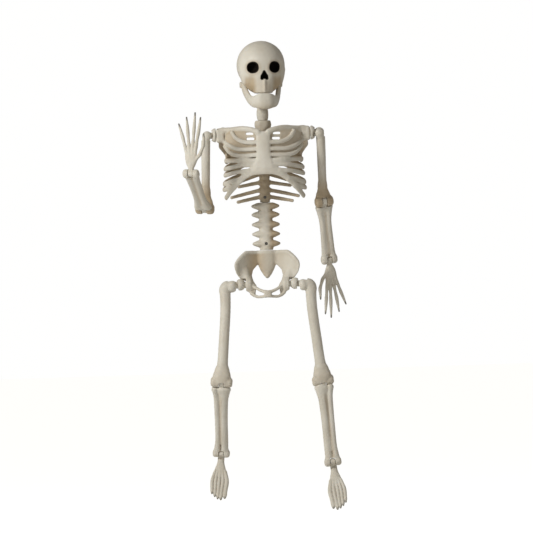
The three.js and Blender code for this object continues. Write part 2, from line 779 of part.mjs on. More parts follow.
function leg({ side, spread, thigh: thighSwing, knee, ankle }) {
  const name = side > 0 ? "left" : "right";
  const sided = (body) => (side > 0 ? body : mirrored(body));
  const at = ([x, y, z]) => [side * x, y, z];

  const knuckle = joint(figure, `${name}_hip_swing`, [side * HIP.x, 0, 0], FORWARDS, thighSwing);
  add(knuckle, `${name}_hip_knuckle`, sided(hipKnuckle()));

  const upper = joint(knuckle, `${name}_hip_spread`, [side * KNUCKLE_REACH, 0, 0], [0, -side, 0], spread);
  add(upper, `${name}_thigh`, sided(thigh()));
  add(upper, `${name}_hip_pin`, knucklePin(), STEEL);
  add(upper, `${name}_knee_pin`, hingePin(KNEE_HALF - 0.5, at(KNEE)), STEEL);

  const lower = joint(upper, `${name}_knee`, at(KNEE), BACKWARDS, knee);
  add(lower, `${name}_shin`, sided(shin()));
  add(lower, `${name}_ankle_pin`, hingePin(ANKLE_HALF - 0.5, at(ANKLE)), STEEL);

  const tip = joint(lower, `${name}_ankle`, at(ANKLE), BACKWARDS, ankle);
  add(tip, `${name}_foot`, sided(foot()));
}

function head() {
  const column = joint(figure, "neck_turn", [0, NECK.y, NECK.z], [0, 0, 1], HEAD.turn);
  neck(column);
  const cranium = joint(column, "neck_nod", [0, 0, 0], BACKWARDS, HEAD.nod);
  skull(cranium);
  const chin = joint(cranium, "jaw_open", [0, JAW_PIVOT.y, JAW_PIVOT.z], BACKWARDS, HEAD.jaw);
  jaw(chin);
}

head();
ribcageFront(figure);
ribcageBack(figure);
lumbarSpine(figure);
pelvis(figure);
for (const pose of [LEFT, RIGHT]) {
  arm(pose);
  leg(pose);
}

export default figure;
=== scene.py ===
import json
import math

import bpy
import numpy as np
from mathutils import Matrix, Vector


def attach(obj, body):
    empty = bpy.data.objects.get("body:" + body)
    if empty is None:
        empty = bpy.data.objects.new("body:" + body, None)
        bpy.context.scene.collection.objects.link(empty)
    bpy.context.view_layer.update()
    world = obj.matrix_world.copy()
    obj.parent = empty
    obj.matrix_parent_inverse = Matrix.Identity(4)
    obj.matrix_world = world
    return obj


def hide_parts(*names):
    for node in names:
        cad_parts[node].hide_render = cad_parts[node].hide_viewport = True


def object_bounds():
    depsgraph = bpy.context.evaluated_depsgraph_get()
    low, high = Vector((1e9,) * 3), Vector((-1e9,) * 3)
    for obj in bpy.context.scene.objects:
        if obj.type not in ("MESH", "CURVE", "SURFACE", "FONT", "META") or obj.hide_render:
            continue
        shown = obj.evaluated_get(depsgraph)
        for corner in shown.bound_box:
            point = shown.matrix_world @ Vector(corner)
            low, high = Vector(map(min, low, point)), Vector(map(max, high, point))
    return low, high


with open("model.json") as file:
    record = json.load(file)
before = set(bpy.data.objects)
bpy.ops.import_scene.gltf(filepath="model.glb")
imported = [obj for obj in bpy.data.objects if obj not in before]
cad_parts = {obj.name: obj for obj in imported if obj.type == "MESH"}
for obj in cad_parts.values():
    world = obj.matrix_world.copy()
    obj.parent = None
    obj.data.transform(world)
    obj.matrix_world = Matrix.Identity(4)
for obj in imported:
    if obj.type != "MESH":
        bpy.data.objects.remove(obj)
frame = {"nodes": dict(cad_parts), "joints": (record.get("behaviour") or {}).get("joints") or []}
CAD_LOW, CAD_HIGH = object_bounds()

import openvdb
from mathutils import Matrix, Vector

MM = 0.001
JOINTS = {joint["name"]: joint for joint in frame["joints"]}
SIDES = {"left": 1, "right": -1}

# The part's own dimensions, in millimetres.
BACK_FLAT = np.array([0, 50, 262])  # the frame's origin, in the torso's drawing
NECK_PIVOT = np.array([0, 12, 356])
SHOULDER_X = 91
REACH = 17  # from a knuckle's origin to its outer pin
SLOT_HALF = 5.3
TONGUE_HALF = 4.5
TONGUE_R = 8
FORK_R = 10
SMALL_FORK_R = 8
ROOM = 0.9  # left round a turning tongue or fork
SMALL_TONGUE_ROOM = 7.2  # from the wrist's or ankle's pin to the floor of its slot
PIN_HOLE_R = 2.5
HINGE_OFF = 4
UPPER_ARM = 141
FOREARM = 118
THIGH = 191
SHIN = 158
ELBOW_TOE_OUT = 16
WRIST_BEND = {"left": 0, "right": 56}
ANKLE_BEND = {"left": 50, "right": 19}
SKULL_SPLIT = 12
CHEST_SPLIT = 0
SEAM = 0.15  # half the gap between two halves of a moulding


# ---------------------------------------------------------------------------------------------
# Shapes: signed distances in millimetres

FAR = 12.0


class Part:
    """A region between two corners, and the distance to a surface inside it."""

    def __init__(self, low, high, distance):
        self.low = np.array(low, float)
        self.high = np.array(high, float)
        self.distance = distance


class Shape:
    """A union of parts."""

    def __init__(self, parts):
        self.parts = parts
        self.low = np.min([part.low for part in parts], axis=0)
        self.high = np.max([part.high for part in parts], axis=0)

    def at(self, points):
        x, y, z = points.T
        return np.min([part.distance(x, y, z) for part in self.parts], axis=0)


def together(*shapes):
    return Shape([part for shape in shapes for part in shape.parts])


def mirrored(shape):
    def other(part):
        low = part.low * [-1, 1, 1]
        high = part.high * [-1, 1, 1]
        return Part(np.minimum(low, high), np.maximum(low, high),
                    lambda x, y, z: part.distance(-x, y, z))
    return Shape([other(part) for part in shape.parts])


def both(shape):
    return together(shape, mirrored(shape))


def turned(shape, degrees, about=(0, 0, 0), axis="z"):
    """The shape turned by an angle about an axis through a point."""
    turn = np.array(Matrix.Rotation(math.radians(degrees), 3, axis.upper()))
    centre = np.array(about, float)

    def moved(part):
        corners = np.array([[x, y, z] for x in (part.low[0], part.high[0])
                            for y in (part.low[1], part.high[1])
                            for z in (part.low[2], part.high[2])])
        corners = (corners - centre) @ turn.T + centre

        def distance(x, y, z):
            x, y, z = x - centre[0], y - centre[1], z - centre[2]
            back = [x * turn[0, i] + y * turn[1, i] + z * turn[2, i] + centre[i] for i in range(3)]
            return part.distance(*back)
        return Part(corners.min(0), corners.max(0), distance)
    return Shape([moved(part) for part in shape.parts])


def blob(centre, radii):
    """An ellipsoid."""
    centre, radii = np.array(centre, float), np.array(radii, float)

    def distance(x, y, z):
        u, v, w = (x - centre[0]) / radii[0], (y - centre[1]) / radii[1], (z - centre[2]) / radii[2]
        k0 = np.sqrt(u * u + v * v + w * w + 1e-6)
        u, v, w = u / radii[0], v / radii[1], w / radii[2]
        return k0 * (k0 - 1) / np.sqrt(u * u + v * v + w * w + 1e-6 / radii.max() ** 2)
    return Shape([Part(centre - radii, centre + radii, distance)])


def slab(low, high, rounding=0.0):
    """A box with rounded edges."""
    low, high = np.array(low, float), np.array(high, float)
    centre = (low + high) / 2
    half = (high - low) / 2 - rounding

    def distance(x, y, z):
        u, v, w = abs(x - centre[0]) - half[0], abs(y - centre[1]) - half[1], abs(z - centre[2]) - half[2]
        outside = np.sqrt(np.maximum(u, 0) ** 2 + np.maximum(v, 0) ** 2 + np.maximum(w, 0) ** 2)
        return outside + np.minimum(np.maximum(u, np.maximum(v, w)), 0) - rounding
    return Shape([Part(low, high, distance)])


def rod(axis, radius, ends, centre, rounding=0.0):
    """A round bar along x, y or z between two ends, through a point."""
    along = "xyz".index(axis)
    middle = np.array(centre, float)
    middle[along] = sum(ends) / 2
    half = (ends[1] - ends[0]) / 2
    size = np.full(3, radius, float)
    size[along] = half

    def distance(x, y, z):
        offsets = [x - middle[0], y - middle[1], z - middle[2]]
        length = abs(offsets.pop(along)) - half + rounding
        across = np.hypot(*offsets) - radius + rounding
        outside = np.hypot(np.maximum(length, 0), np.maximum(across, 0))
        return outside + np.minimum(np.maximum(length, across), 0) - rounding
    return Shape([Part(middle - size, middle + size, distance)])


def smooth(rows, steps):
    """More rows between the given ones, on a smooth curve through them."""
    rows = np.array(rows, float)
    padded = np.vstack([2 * rows[0] - rows[1], rows, 2 * rows[-1] - rows[-2]])
    made = []
    for a, b, c, d in zip(padded, padded[1:], padded[2:], padded[3:]):
        for t in np.arange(steps) / steps:
            cubic = (3 * b - a - 3 * c + d) * t ** 3 + (2 * a - 5 * b + 4 * c - d) * t * t
            made.append((2 * b + (c - a) * t + cubic) / 2)
    return np.vstack(made + [rows[-1]])


def segment(a, b, flat):
    """A bar of elliptical section from row a to row b, each [x, y, z, half width, half depth]."""
    along = b[:3] - a[:3]
    length = np.linalg.norm(along)
    forward = along / length
    deep = flat - forward * (flat @ forward)
    deep = deep / np.linalg.norm(deep)
    wide = np.cross(deep, forward)
    reach = max(a[3], a[4], b[3], b[4])

    def distance(x, y, z):
        x, y, z = x - a[0], y - a[1], z - a[2]
        ahead = x * forward[0] + y * forward[1] + z * forward[2]
        t = np.clip(ahead / length, 0, 1)
        half_width = a[3] + (b[3] - a[3]) * t
        half_depth = a[4] + (b[4] - a[4]) * t
        end = np.minimum(half_width, half_depth)
        u = (x * wide[0] + y * wide[1] + z * wide[2]) / half_width
        v = (x * deep[0] + y * deep[1] + z * deep[2]) / half_depth
        w = (ahead - t * length) / end
        k0 = np.sqrt(u * u + v * v + w * w + 1e-6)
        k1 = np.sqrt((u / half_width) ** 2 + (v / half_depth) ** 2 + (w / end) ** 2 + 1e-6 / reach ** 2)
        return k0 * (k0 - 1) / k1
    return Part(np.minimum(a[:3], b[:3]) - reach, np.maximum(a[:3], b[:3]) + reach, distance)


def limb(rows, flat=(0, 1, 0), steps=5):
    """A bar through rows of [x, y, z, half width, half depth], its depth measured along flat."""
    rows = smooth(rows, steps)
    return Shape([segment(a, b, np.array(flat, float)) for a, b in zip(rows, rows[1:])])


def wire(points, radius):
    """A round bar of one radius, or of a radius per point."""
    radii = radius if hasattr(radius, "__len__") else [radius] * len(points)
    return limb([[*point, r, r] for point, r in zip(points, radii)])


def outline_distance(outline, x, z):
    """The signed distance to a closed outline of [x, z]."""
    nearest = np.full(np.broadcast(x, z).shape, 1e6)
    inside = np.zeros(nearest.shape, bool)
    for (x0, z0), (x1, z1) in zip(outline, outline[1:] + outline[:1]):
        along_x, along_z = x1 - x0, z1 - z0
        t = np.clip(((x - x0) * along_x + (z - z0) * along_z) / (along_x ** 2 + along_z ** 2), 0, 1)
        nearest = np.minimum(nearest, (x - x0 - t * along_x) ** 2 + (z - z0 - t * along_z) ** 2)
        if along_z:
            inside ^= ((z0 > z) != (z1 > z)) & (x < x0 + along_x * (z - z0) / along_z)
    return np.sqrt(nearest) * np.where(inside, -1, 1)


def plate(outline, depth, thick, rounding=2.0):
    """A curved sheet: its outline of [x, z], and its middle's y as a function of x and z."""
    def distance(x, y, z):
        edge = outline_distance(outline, x, z) + rounding
        side = abs(y - depth(x, z)) - thick / 2 + rounding
        outside = np.hypot(np.maximum(edge, 0), np.maximum(side, 0))
        return outside + np.minimum(np.maximum(edge, side), 0) - rounding
    across, up = zip(*outline)
    return Shape([Part([min(across), -60, min(up)], [max(across), 60, max(up)], distance)])


# ---------------------------------------------------------------------------------------------
# Clay: the grid a bone is modelled on

class Clay:
    """A solid on a grid of signed distances, built up and cut into with shapes."""

    def __init__(self, low, high, voxel=1.0):
        self.low = np.array(low, float)
        self.voxel = voxel
        counts = np.ceil((np.array(high, float) - self.low) / voxel).astype(int) + 1
        self.field = np.full(counts, FAR, np.float32)
        self.axes = [(self.low[i] + voxel * np.arange(counts[i])).astype(np.float32) for i in range(3)]

    def spans(self, low, high, margin):
        first = np.floor((low - margin - self.low) / self.voxel).astype(int)
        last = np.ceil((high + margin - self.low) / self.voxel).astype(int) + 1
        shape = self.field.shape
        return [slice(int(np.clip(a, 0, n)), int(np.clip(b, 0, n))) for a, b, n in zip(first, last, shape)]

    def coordinates(self, spans):
        return np.meshgrid(*[axis[span] for axis, span in zip(self.axes, spans)], indexing="ij", sparse=True)

    def mix(self, shape, blend, sign):
        margin = blend + 3 * self.voxel
        outer = self.spans(shape.low, shape.high, margin)
        made = np.full([span.stop - span.start for span in outer], FAR, np.float32)
        for part in shape.parts:
            inner = self.spans(part.low, part.high, margin)
            if any(span.stop <= span.start for span in inner):
                continue
            local = tuple(slice(s.start - o.start, s.stop - o.start) for s, o in zip(inner, outer))
            made[local] = np.minimum(made[local], part.distance(*self.coordinates(inner)))
        old = sign * self.field[tuple(outer)]
        new = np.minimum(old, made)
        if blend:
            overlap = np.maximum(blend - abs(old - made), 0) / blend
            new = new - overlap ** 2 * blend / 4
        self.field[tuple(outer)] = sign * new

    def add(self, shape, blend=0.0):
        self.mix(shape, blend, 1)

    def cut(self, shape, blend=0.0):
        self.mix(shape, blend, -1)

    def keep(self, axis, limit, sign):
        """Keeps what lies beyond a plane: above the limit for sign 1, below it for sign -1."""
        shape = [1, 1, 1]
        shape[axis] = -1
        plane = sign * (limit - self.axes[axis].reshape(shape))
        self.field = np.maximum(self.field, plane)

    def copy(self):
        other = Clay(self.low, self.low, self.voxel)
        other.field = self.field.copy()
        other.axes = self.axes
        return other

    def ripple(self, height, length):
        """The slight unevenness of a casting."""
        x, y, z = self.coordinates([slice(None)] * 3)
        k = 2 * math.pi / length
        across = np.sin(k * (x + 0.6 * y) + 1)
        up = np.sin(k * (0.8 * z - 0.5 * x) + 2)
        deep = np.sin(k * (0.7 * y + z) + 4)
        self.field += (height * (across * up * deep)).astype(np.float32)

    def crevices(self, reach):
        """How far each place lies inside a hollow: above 0 in a groove, below 0 on an edge."""
        solid = np.clip(0.5 - self.field / (2 * self.voxel), 0, 1).astype(np.float32)
        count = max(1, round(reach / self.voxel))
        for axis in (0, 1, 2):
            padded = np.pad(solid, [(count + 1, count) if i == axis else (0, 0) for i in range(3)])
            total = np.cumsum(padded, axis=axis, dtype=np.float64)
            width = 2 * count + 1
            upper = np.take(total, range(width, total.shape[axis]), axis)
            lower = np.take(total, range(0, total.shape[axis] - width), axis)
            solid = ((upper - lower) / width).astype(np.float32)
        return solid - 0.5

    def sample(self, values, points):
        """Values of a grid at points, by trilinear interpolation."""
        place = (points - self.low) / self.voxel
        base = np.clip(np.floor(place).astype(int), 0, np.array(values.shape) - 2)
        part = place - base
        total = np.zeros(len(points))
        for corner in np.ndindex(2, 2, 2):
            weight = np.prod(np.where(corner, part, 1 - part), axis=1)
            total += weight * values[tuple((base + corner).T)]
        return total

    def surface(self):
        grid = openvdb.FloatGrid()
        grid.copyFromArray(self.field)
        points, quads = grid.convertToQuads()
        return self.low + points.astype(float) * self.voxel, quads


# ---------------------------------------------------------------------------------------------
# Places: where each bone's drawing stands in the figure

class Place:
    """A drawing's origin in metres, and its x, y and z axes, which may be left-handed."""

    def __init__(self, origin, x, y, z):
        self.origin = np.array(origin, float)
        self.axes = np.array([unit(x), unit(y), unit(z)])

    def out(self, points):
        return self.origin + points @ self.axes * MM


def unit(vector):
    vector = np.array(vector, float)
    return vector / np.linalg.norm(vector)


def pivot(joint):
    return np.array(JOINTS[joint]["pos_m"], float)


def axis_of(joint):
    return unit(JOINTS[joint]["axis"])


def turned_about(vector, axis, degrees):
    return np.array(Matrix.Rotation(math.radians(degrees), 3, Vector(axis)) @ Vector(vector))


def torso_place():
    return Place(-BACK_FLAT * MM, [1, 0, 0], [0, 1, 0], [0, 0, 1])


def head_place():
    """The skull, the jaw and the neck are all drawn about the pin on top of the neck."""
    x = axis_of("neck_nod")
    return Place(pivot("neck_nod"), x, np.cross([0, 0, 1], x), [0, 0, 1])


def shoulder_place(name, side):
    y = -side * axis_of(f"{name}_shoulder_lift")
    return Place(pivot(f"{name}_shoulder_swing"), [side, 0, 0], y, np.cross([1, 0, 0], y))


def hip_place(name, side):
    y = -side * axis_of(f"{name}_hip_spread")
    return Place(pivot(f"{name}_hip_swing"), [side, 0, 0], y, np.cross([1, 0, 0], y))


def upper_arm_place(name, side):
    y = -side * axis_of(f"{name}_shoulder_lift")
    z = unit(np.cross(-axis_of(f"{name}_elbow"), y))
    return Place(pivot(f"{name}_shoulder_lift"), side * np.cross(y, z), y, z)


def forearm_place(name, side):
    x = -axis_of(f"{name}_elbow")
    z = unit(pivot(f"{name}_elbow") - pivot(f"{name}_wrist"))
    return Place(pivot(f"{name}_elbow"), side * x, np.cross(z, x), z)


def hand_place(name, side):
    arm = forearm_place(name, side)
    x, y, z = [turned_about(v, -axis_of(f"{name}_elbow"), -WRIST_BEND[name]) for v in arm.axes]
    return Place(pivot(f"{name}_wrist"), x, y, z)


def thigh_place(name, side):
    x = axis_of(f"{name}_knee")
    y = -side * axis_of(f"{name}_hip_spread")
    return Place(pivot(f"{name}_hip_spread"), side * x, y, np.cross(x, y))


def shin_place(name, side):
    x = axis_of(f"{name}_knee")
    y = unit(np.cross(pivot(f"{name}_knee") - pivot(f"{name}_ankle"), x))
    return Place(pivot(f"{name}_knee"), side * x, y, np.cross(x, y))


def foot_place(name, side):
    leg = shin_place(name, side)
    x, y, z = [turned_about(v, axis_of(f"{name}_knee"), ANKLE_BEND[name]) for v in leg.axes]
    return Place(pivot(f"{name}_ankle"), x, y, z)


# ---------------------------------------------------------------------------------------------
# Materials

def new_material(name):
    material = bpy.data.materials.new(name)
    material.use_nodes = True
    nodes, links = material.node_tree.nodes, material.node_tree.links
    return material, nodes, links, nodes["Principled BSDF"]


def noise(nodes, links, coordinates, scale, detail=3.0):
    node = nodes.new("ShaderNodeTexNoise")
    node.inputs["Scale"].default_value = scale
    node.inputs["Detail"].default_value = detail
    links.new(coordinates, node.inputs["Vector"])
    return node.outputs["Fac"]


def ramp(nodes, links, source, low, high, to=(0.0, 1.0)):
    node = nodes.new("ShaderNodeMapRange")
    node.clamp = True
    for key, value in zip(("From Min", "From Max", "To Min", "To Max"), (low, high, *to)):
        node.inputs[key].default_value = value
    links.new(source, node.inputs["Value"])
    return node.outputs["Result"]


def mix(nodes, links, factor, a, b):
    """A colour between a and b, which are colours or outputs."""
    node = nodes.new("ShaderNodeMix")
    node.data_type = "RGBA"
    links.new(factor, node.inputs["Factor"])
    for key, value in (("A", a), ("B", b)):
        socket = [s for s in node.inputs if s.name == key and s.type == "RGBA"][0]
        if isinstance(value, tuple):
            socket.default_value = (*value, 1)
        else:
            links.new(value, socket)
    return [s for s in node.outputs if s.type == "RGBA"][0]


def attribute(nodes, name):
    node = nodes.new("ShaderNodeAttribute")
    node.attribute_name = name
    return node.outputs["Fac"]


def bumps(nodes, links, shader, heights):
    """Bump maps on top of each other, each (height output, distance in metres, strength)."""
    last = None
    for height, distance, strength in heights:
        node = nodes.new("ShaderNodeBump")
        node.inputs["Distance"].default_value = distance
        node.inputs["Strength"].default_value = strength
        links.new(height, node.inputs["Height"])
        if last:
            links.new(last, node.inputs["Normal"])
        last = node.outputs["Normal"]
    links.new(last, shader.inputs["Normal"])


IVORY = (0.61, 0.565, 0.475)
PALE = (0.70, 0.665, 0.585)
# The next two colours are painted shade: tan on shaded sides and insides, brown in hollows.
SHADE_TAN = (0.45, 0.345, 0.215)
HOLLOW_SHADE_BROWN = (0.19, 0.115, 0.055)
BLACK = (0.012, 0.009, 0.007)


def bone_material(name):
    """Ivory plastic with painted shade, tan where the mesh asks for it and brown in its hollows, and dark
    paint where the mesh asks for it.
    """
    material, nodes, links, shader = new_material(name)
    place = nodes.new("ShaderNodeTexCoord").outputs["Object"]
    broad = ramp(nodes, links, noise(nodes, links, place, 22), 0.35, 0.68)
    fine = noise(nodes, links, place, 260, 5)
    hollow = attribute(nodes, "hollow")
    colour = mix(nodes, links, broad, PALE, IVORY)
    # Painted shade: tan where each piece's shade values are high, on parts turned from the light.
    colour = mix(nodes, links, attribute(nodes, "painted_shade"), colour, SHADE_TAN)
    edge = ramp(nodes, links, hollow, -0.30, -0.12, (0.35, 0.0))
    colour = mix(nodes, links, edge, colour, PALE)
    # Painted shade: brown in the hollows and grooves, where shade falls, mottled by fine noise.
    hollow_shade = nodes.new("ShaderNodeMath")
    hollow_shade.operation = "MULTIPLY"
    links.new(ramp(nodes, links, hollow, 0.04, 0.34), hollow_shade.inputs[0])
    links.new(ramp(nodes, links, fine, 0.3, 0.6, (0.55, 0.95)), hollow_shade.inputs[1])
    colour = mix(nodes, links, hollow_shade.outputs[0], colour, HOLLOW_SHADE_BROWN)
    paint = attribute(nodes, "paint")
    colour = mix(nodes, links, paint, colour, BLACK)
    links.new(colour, shader.inputs["Base Color"])
    links.new(ramp(nodes, links, fine, 0.3, 0.7, (0.45, 0.62)), shader.inputs["Roughness"])
    links.new(ramp(nodes, links, paint, 0, 1, (0.32, 0.02)), shader.inputs["Specular IOR Level"])
    shader.inputs["Subsurface Weight"].default_value = 0.05
    shader.inputs["Subsurface Radius"].default_value = (0.004, 0.0025, 0.0015)
    bumps(nodes, links, shader, [(noise(nodes, links, place, 90, 2), 0.0012, 0.35), (fine, 0.0004, 0.4)])
    return material


def steel_material():
    material, nodes, links, shader = new_material("pin_steel")
    place = nodes.new("ShaderNodeTexCoord").outputs["Object"]
    grain = noise(nodes, links, place, 900, 4)
    colour = mix(nodes, links, ramp(nodes, links, grain, 0.3, 0.7), (0.14, 0.13, 0.115), (0.26, 0.25, 0.235))
    links.new(colour, shader.inputs["Base Color"])
    shader.inputs["Metallic"].default_value = 1
    links.new(ramp(nodes, links, grain, 0.3, 0.7, (0.3, 0.5)), shader.inputs["Roughness"])
    bumps(nodes, links, shader, [(grain, 0.0002, 0.3)])
    return material


BONE = bone_material("bone_plastic")
STEEL = steel_material()


# ---------------------------------------------------------------------------------------------
# Pieces

def ease(values, low, high):
    """0 below low, 1 above high, with a smooth step between."""
    t = np.clip((values - low) / (high - low), 0, 1)
    return t * t * (3 - 2 * t)


def show(name, clay, place, body, nodes, paint=None, painted_shade=None, hollow_reach=3.5):
    """Turns clay into a mesh that rides on a body in place of CAD nodes. Paint and painted shade are
    functions of the drawing's points that give 0 to 1; the painted shade is a tan tint put where shade falls."""
    points, quads = clay.surface()
    hollow = clay.sample(clay.crevices(hollow_reach), points)
    world = place.out(points)
    corners = world[quads]
    normal = np.cross(corners[:, 1] - corners[:, 0], corners[:, 3] - corners[:, 0])
    volume = np.einsum("ij,ij->", corners.mean(1), normal)
    if volume < 0:
        quads = quads[:, ::-1]
    mesh = bpy.data.meshes.new(name)
    mesh.from_pydata(world.tolist(), [], quads.tolist())
    mesh.update()
    # The third attribute is painted shade, a tan tint that each piece sets where shade falls.
    for key, values in (("hollow", hollow),
                        ("paint", paint(points) if paint else np.zeros(len(points))),
                        ("painted_shade", painted_shade(points) if painted_shade else np.zeros(len(points)))):
        layer = mesh.attributes.new(key, "FLOAT", "POINT")
        layer.data.foreach_set("value", np.asarray(values, np.float32))
    mesh.polygons.foreach_set("use_smooth", [True] * len(mesh.polygons))
    mesh.materials.append(BONE)
    piece = bpy.data.objects.new(name, mesh)
    bpy.context.scene.collection.objects.link(piece)
    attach(piece, body)
    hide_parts(*nodes)
    return piece


def halves(clay, axis, limit):
    """The clay on the low and on the high side of a seam."""
    low, high = clay.copy(), clay.copy()
    low.keep(axis, limit - SEAM, -1)
    high.keep(axis, limit + SEAM, 1)
    return low, high


# ---------------------------------------------------------------------------------------------
# Head

MOUTH_Z = 11.6  # where the jaw meets the skull


def eye_socket():
    hole = slab([11.8, -70, 51.4], [30.6, -27, 70.6], 8.5)
    return turned(hole, 8, (21.4, 0, 62), "y")


def nose_hole():
    top = limb([[0, -52, 52.5, 1.8, 16], [0, -52, 48, 3.8, 16], [0, -52, 44.6, 5.6, 16]])
    return together(top, both(limb([[3.6, -52, 44, 3, 16], [4.8, -52, 39.6, 2.4, 16]])))


def skull():
    clay = Clay([-52, -58, 4], [52, 68, 118], 0.8)
    clay.add(blob([0, 8, 67], [46, 54.5, 46.8]))
    clay.add(blob([0, -12, 72], [41, 38, 38]), 8)
    clay.add(limb([[0, -10, 62, 43, 37], [0, -11, 52, 41.5, 37], [0, -13, 45, 38.5, 35]]), 5)
    clay.add(limb([[0, -22, 44, 33, 28], [0, -25, 33, 25, 25.5], [0, -27, 24, 20.5, 23],
                   [0, -27, 17, 18, 21]]), 5)
    clay.add(both(limb([[38.4, -15, 56, 5, 9], [37, -15, 44, 4.8, 8], [34.6, -15, 33.5, 4.4, 7]])), 6)
    clay.cut(both(blob([27, -48, 36], [8, 11, 12])), 7)
    clay.add(limb([[0, -49.8, 38, 2.2, 2.4], [0, -50, 28, 2, 2.6], [0, -48.5, 15, 1.8, 2.4]]), 4)
    clay.cut(both(eye_socket()), 4.5)
    clay.cut(nose_hole(), 2)
    clay.cut(blob([0, 24, 12], [24, 26, 12]), 6)
    clay.cut(both(rod("x", 17, [27.6, 60], [0, 10, 26], 2)), 1)
    clay.cut(slab([-7.8, -12, 0], [7.8, 44, 31], 3), 1)
    clay.cut(slab([-60, -80, -20], [60, -6, MOUTH_Z + 0.5]))
    clay.ripple(0.22, 17)
    eyes, nose = both(eye_socket()), nose_hole()

    def paint(points):
        return np.maximum(ease(-eyes.at(points), -2.4, -0.8), ease(-nose.at(points), -1.5, -0.3))

    # Painted shade: darker towards the bottom of the face and the back of the skull, in the cheek hollows and
    # in a ring round the eye sockets.
    def painted_shade(points):
        x, y, z = points.T
        cheeks = 0.6 * ease(abs(x), 13, 22) * (1 - ease(abs(x), 32, 38)) * ease(-z, -50, -38)
        cheeks = cheeks + 0.45 * ease(-eyes.at(points), -8, -2)
        return 0.35 * ease(-z, -52, -22) + 0.25 * ease(y, 20, 55) + cheeks
    face, back = halves(clay, 1, SKULL_SPLIT)
    show("skull_face_bone", face, head_place(), "head", ["skull_face"], paint, painted_shade, 4)
    show("skull_back_bone", back, head_place(), "head", ["skull_back"], None, painted_shade, 4)


def jaw():
    clay = Clay([-44, -58, -26], [44, 26, 44], 0.8)
    bow = limb([[0, -47.5, -3.4, 4.6, 14.6], [10, -46, -3.4, 4.6, 14], [20.5, -37, -4.4, 4.6, 11],
                [26.4, -23, 0.6, 4.6, 8.8], [30.4, -8, 11, 4.6, 8.4], [33.2, 3, 22, 4.6, 8.4],
                [34.4, 9.6, 31.5, 4.2, 7]], (0, 0, 1))
    clay.add(both(bow))
    clay.add(blob([0, -44, -10], [15, 9, 9.5]), 6)
    clay.cut(blob([0, -34, -6], [20, 9.5, 18]), 4)
    clay.cut(limb([[-9, -53.5, 4.2, 1, 1.6], [0, -54, 3.8, 1, 1.6], [9, -53.5, 4.2, 1, 1.6]]), 1.2)
    clay.cut(limb([[-10, -53, -1.4, 0.8, 1.4], [0, -54, -1.8, 0.8, 1.4], [10, -53, -1.4, 0.8, 1.4]]), 1.2)
    for x in (-2.5, 2.5):
        clay.cut(wire([[x, -53.4, 10], [x, -53.4, 4]], 0.9), 0.8)
    clay.cut(slab([-24, -80, MOUTH_Z], [24, -24, 60]))
    clay.ripple(0.18, 15)
    clay.add(both(rod("x", 6, [33, 41.4], [0, 10, 30], 2)), 2)
    clay.cut(both(rod("x", 14, [20, 32.9], [0, 10, 30])))
    clay.cut(both(rod("x", 3.8, [20, 40.5], [0, 10, 30])))

    # Painted shade: darker on the jaw's underside and towards its back.
    def painted_shade(points):
        return 0.3 * ease(-points[:, 2], 5, 20) + 0.3 * ease(points[:, 1], -20, 10)
    show("jaw_bone", clay, head_place(), "jaw", ["jaw"], None, painted_shade)


def neck():
    clay = Clay([-16, -16, -46], [16, 16, 12], 0.8)
    clay.add(limb([[0, 0, -12, 8, 8], [0, 0, -19, 10.4, 10], [0, 0, -26, 11.3, 10.5],
                   [0, 0, -33, 11, 10], [0, 0, -38.2, 9.6, 9.2]]))
    clay.add(rod("x", 8, [-7, 7], [0, 0, 0], 1), 3)
    clay.add(slab([-7, -7, -16], [7, 7, 0], 2), 3)
    clay.cut(rod("z", 60, [-60, -39.6], [0, 0, 0]))
    clay.cut(rod("x", 2.9, [-9, 9], [0, 0, 0]))
    clay.ripple(0.2, 12)

    # Painted shade on the neck's +x side, the side turned from the light.
    def painted_shade(points):
        return 0.25 * ease(points[:, 0], 0, 10)
    show("neck_bone", clay, head_place(), "neck", ["neck"], None, painted_shade)


# ---------------------------------------------------------------------------------------------
# Chest

CHEST = {"half": 76, "front": 45, "back": 40, "mid_y": 2}
SPINE_Y = 31


def chest_y(x):
    """The y of the rib cage's front wall at one or more distances from the middle."""
    return CHEST["mid_y"] - CHEST["front"] * np.sqrt(np.maximum(0, 1 - (x / CHEST["half"]) ** 2))


def front_bar(points, thick, tall):
    """A flat bar on the front of the rib cage through points of [x, z]."""
    return limb([[x, chest_y(x), z, thick, tall] for x, z in points], (0, 0, 1))


# The upper ribs sweep up to the shoulder, and the lower ones go round the side.
UPPER_RIBS = [
    [[14, 273], [30, 273.3], [43, 276.5], [54, 284], [60, 294]],
    [[14, 260.5], [34, 260], [50, 261.5], [64, 267.5], [74, 275.5], [79, 284]],
    [[14, 249], [36, 248], [53, 249.5], [66, 256], [75, 268]],
]
LOWER_RIBS = [
    {"from": [12, 237.5], "middle": [[40, 239]], "side": 240, "reach": 72.5, "tall": 4.8},
    {"from": [14, 230.5], "middle": [[45, 229.5]], "side": 224.5, "reach": 74.5, "tall": 4.4},
    {"from": [30, 219], "middle": [[52, 217]], "side": 212.5, "reach": 75.5, "tall": 4.2},
    {"from": [46, 203], "middle": [[62, 200]], "side": 195.5, "reach": 77.5, "tall": 4.6},
    {"from": [58, 189.5], "middle": [[68, 188]], "side": 184.5, "reach": 78.5, "tall": 4},
]
BACK_RISE = 30  # a rib climbs this far from the side to the spine


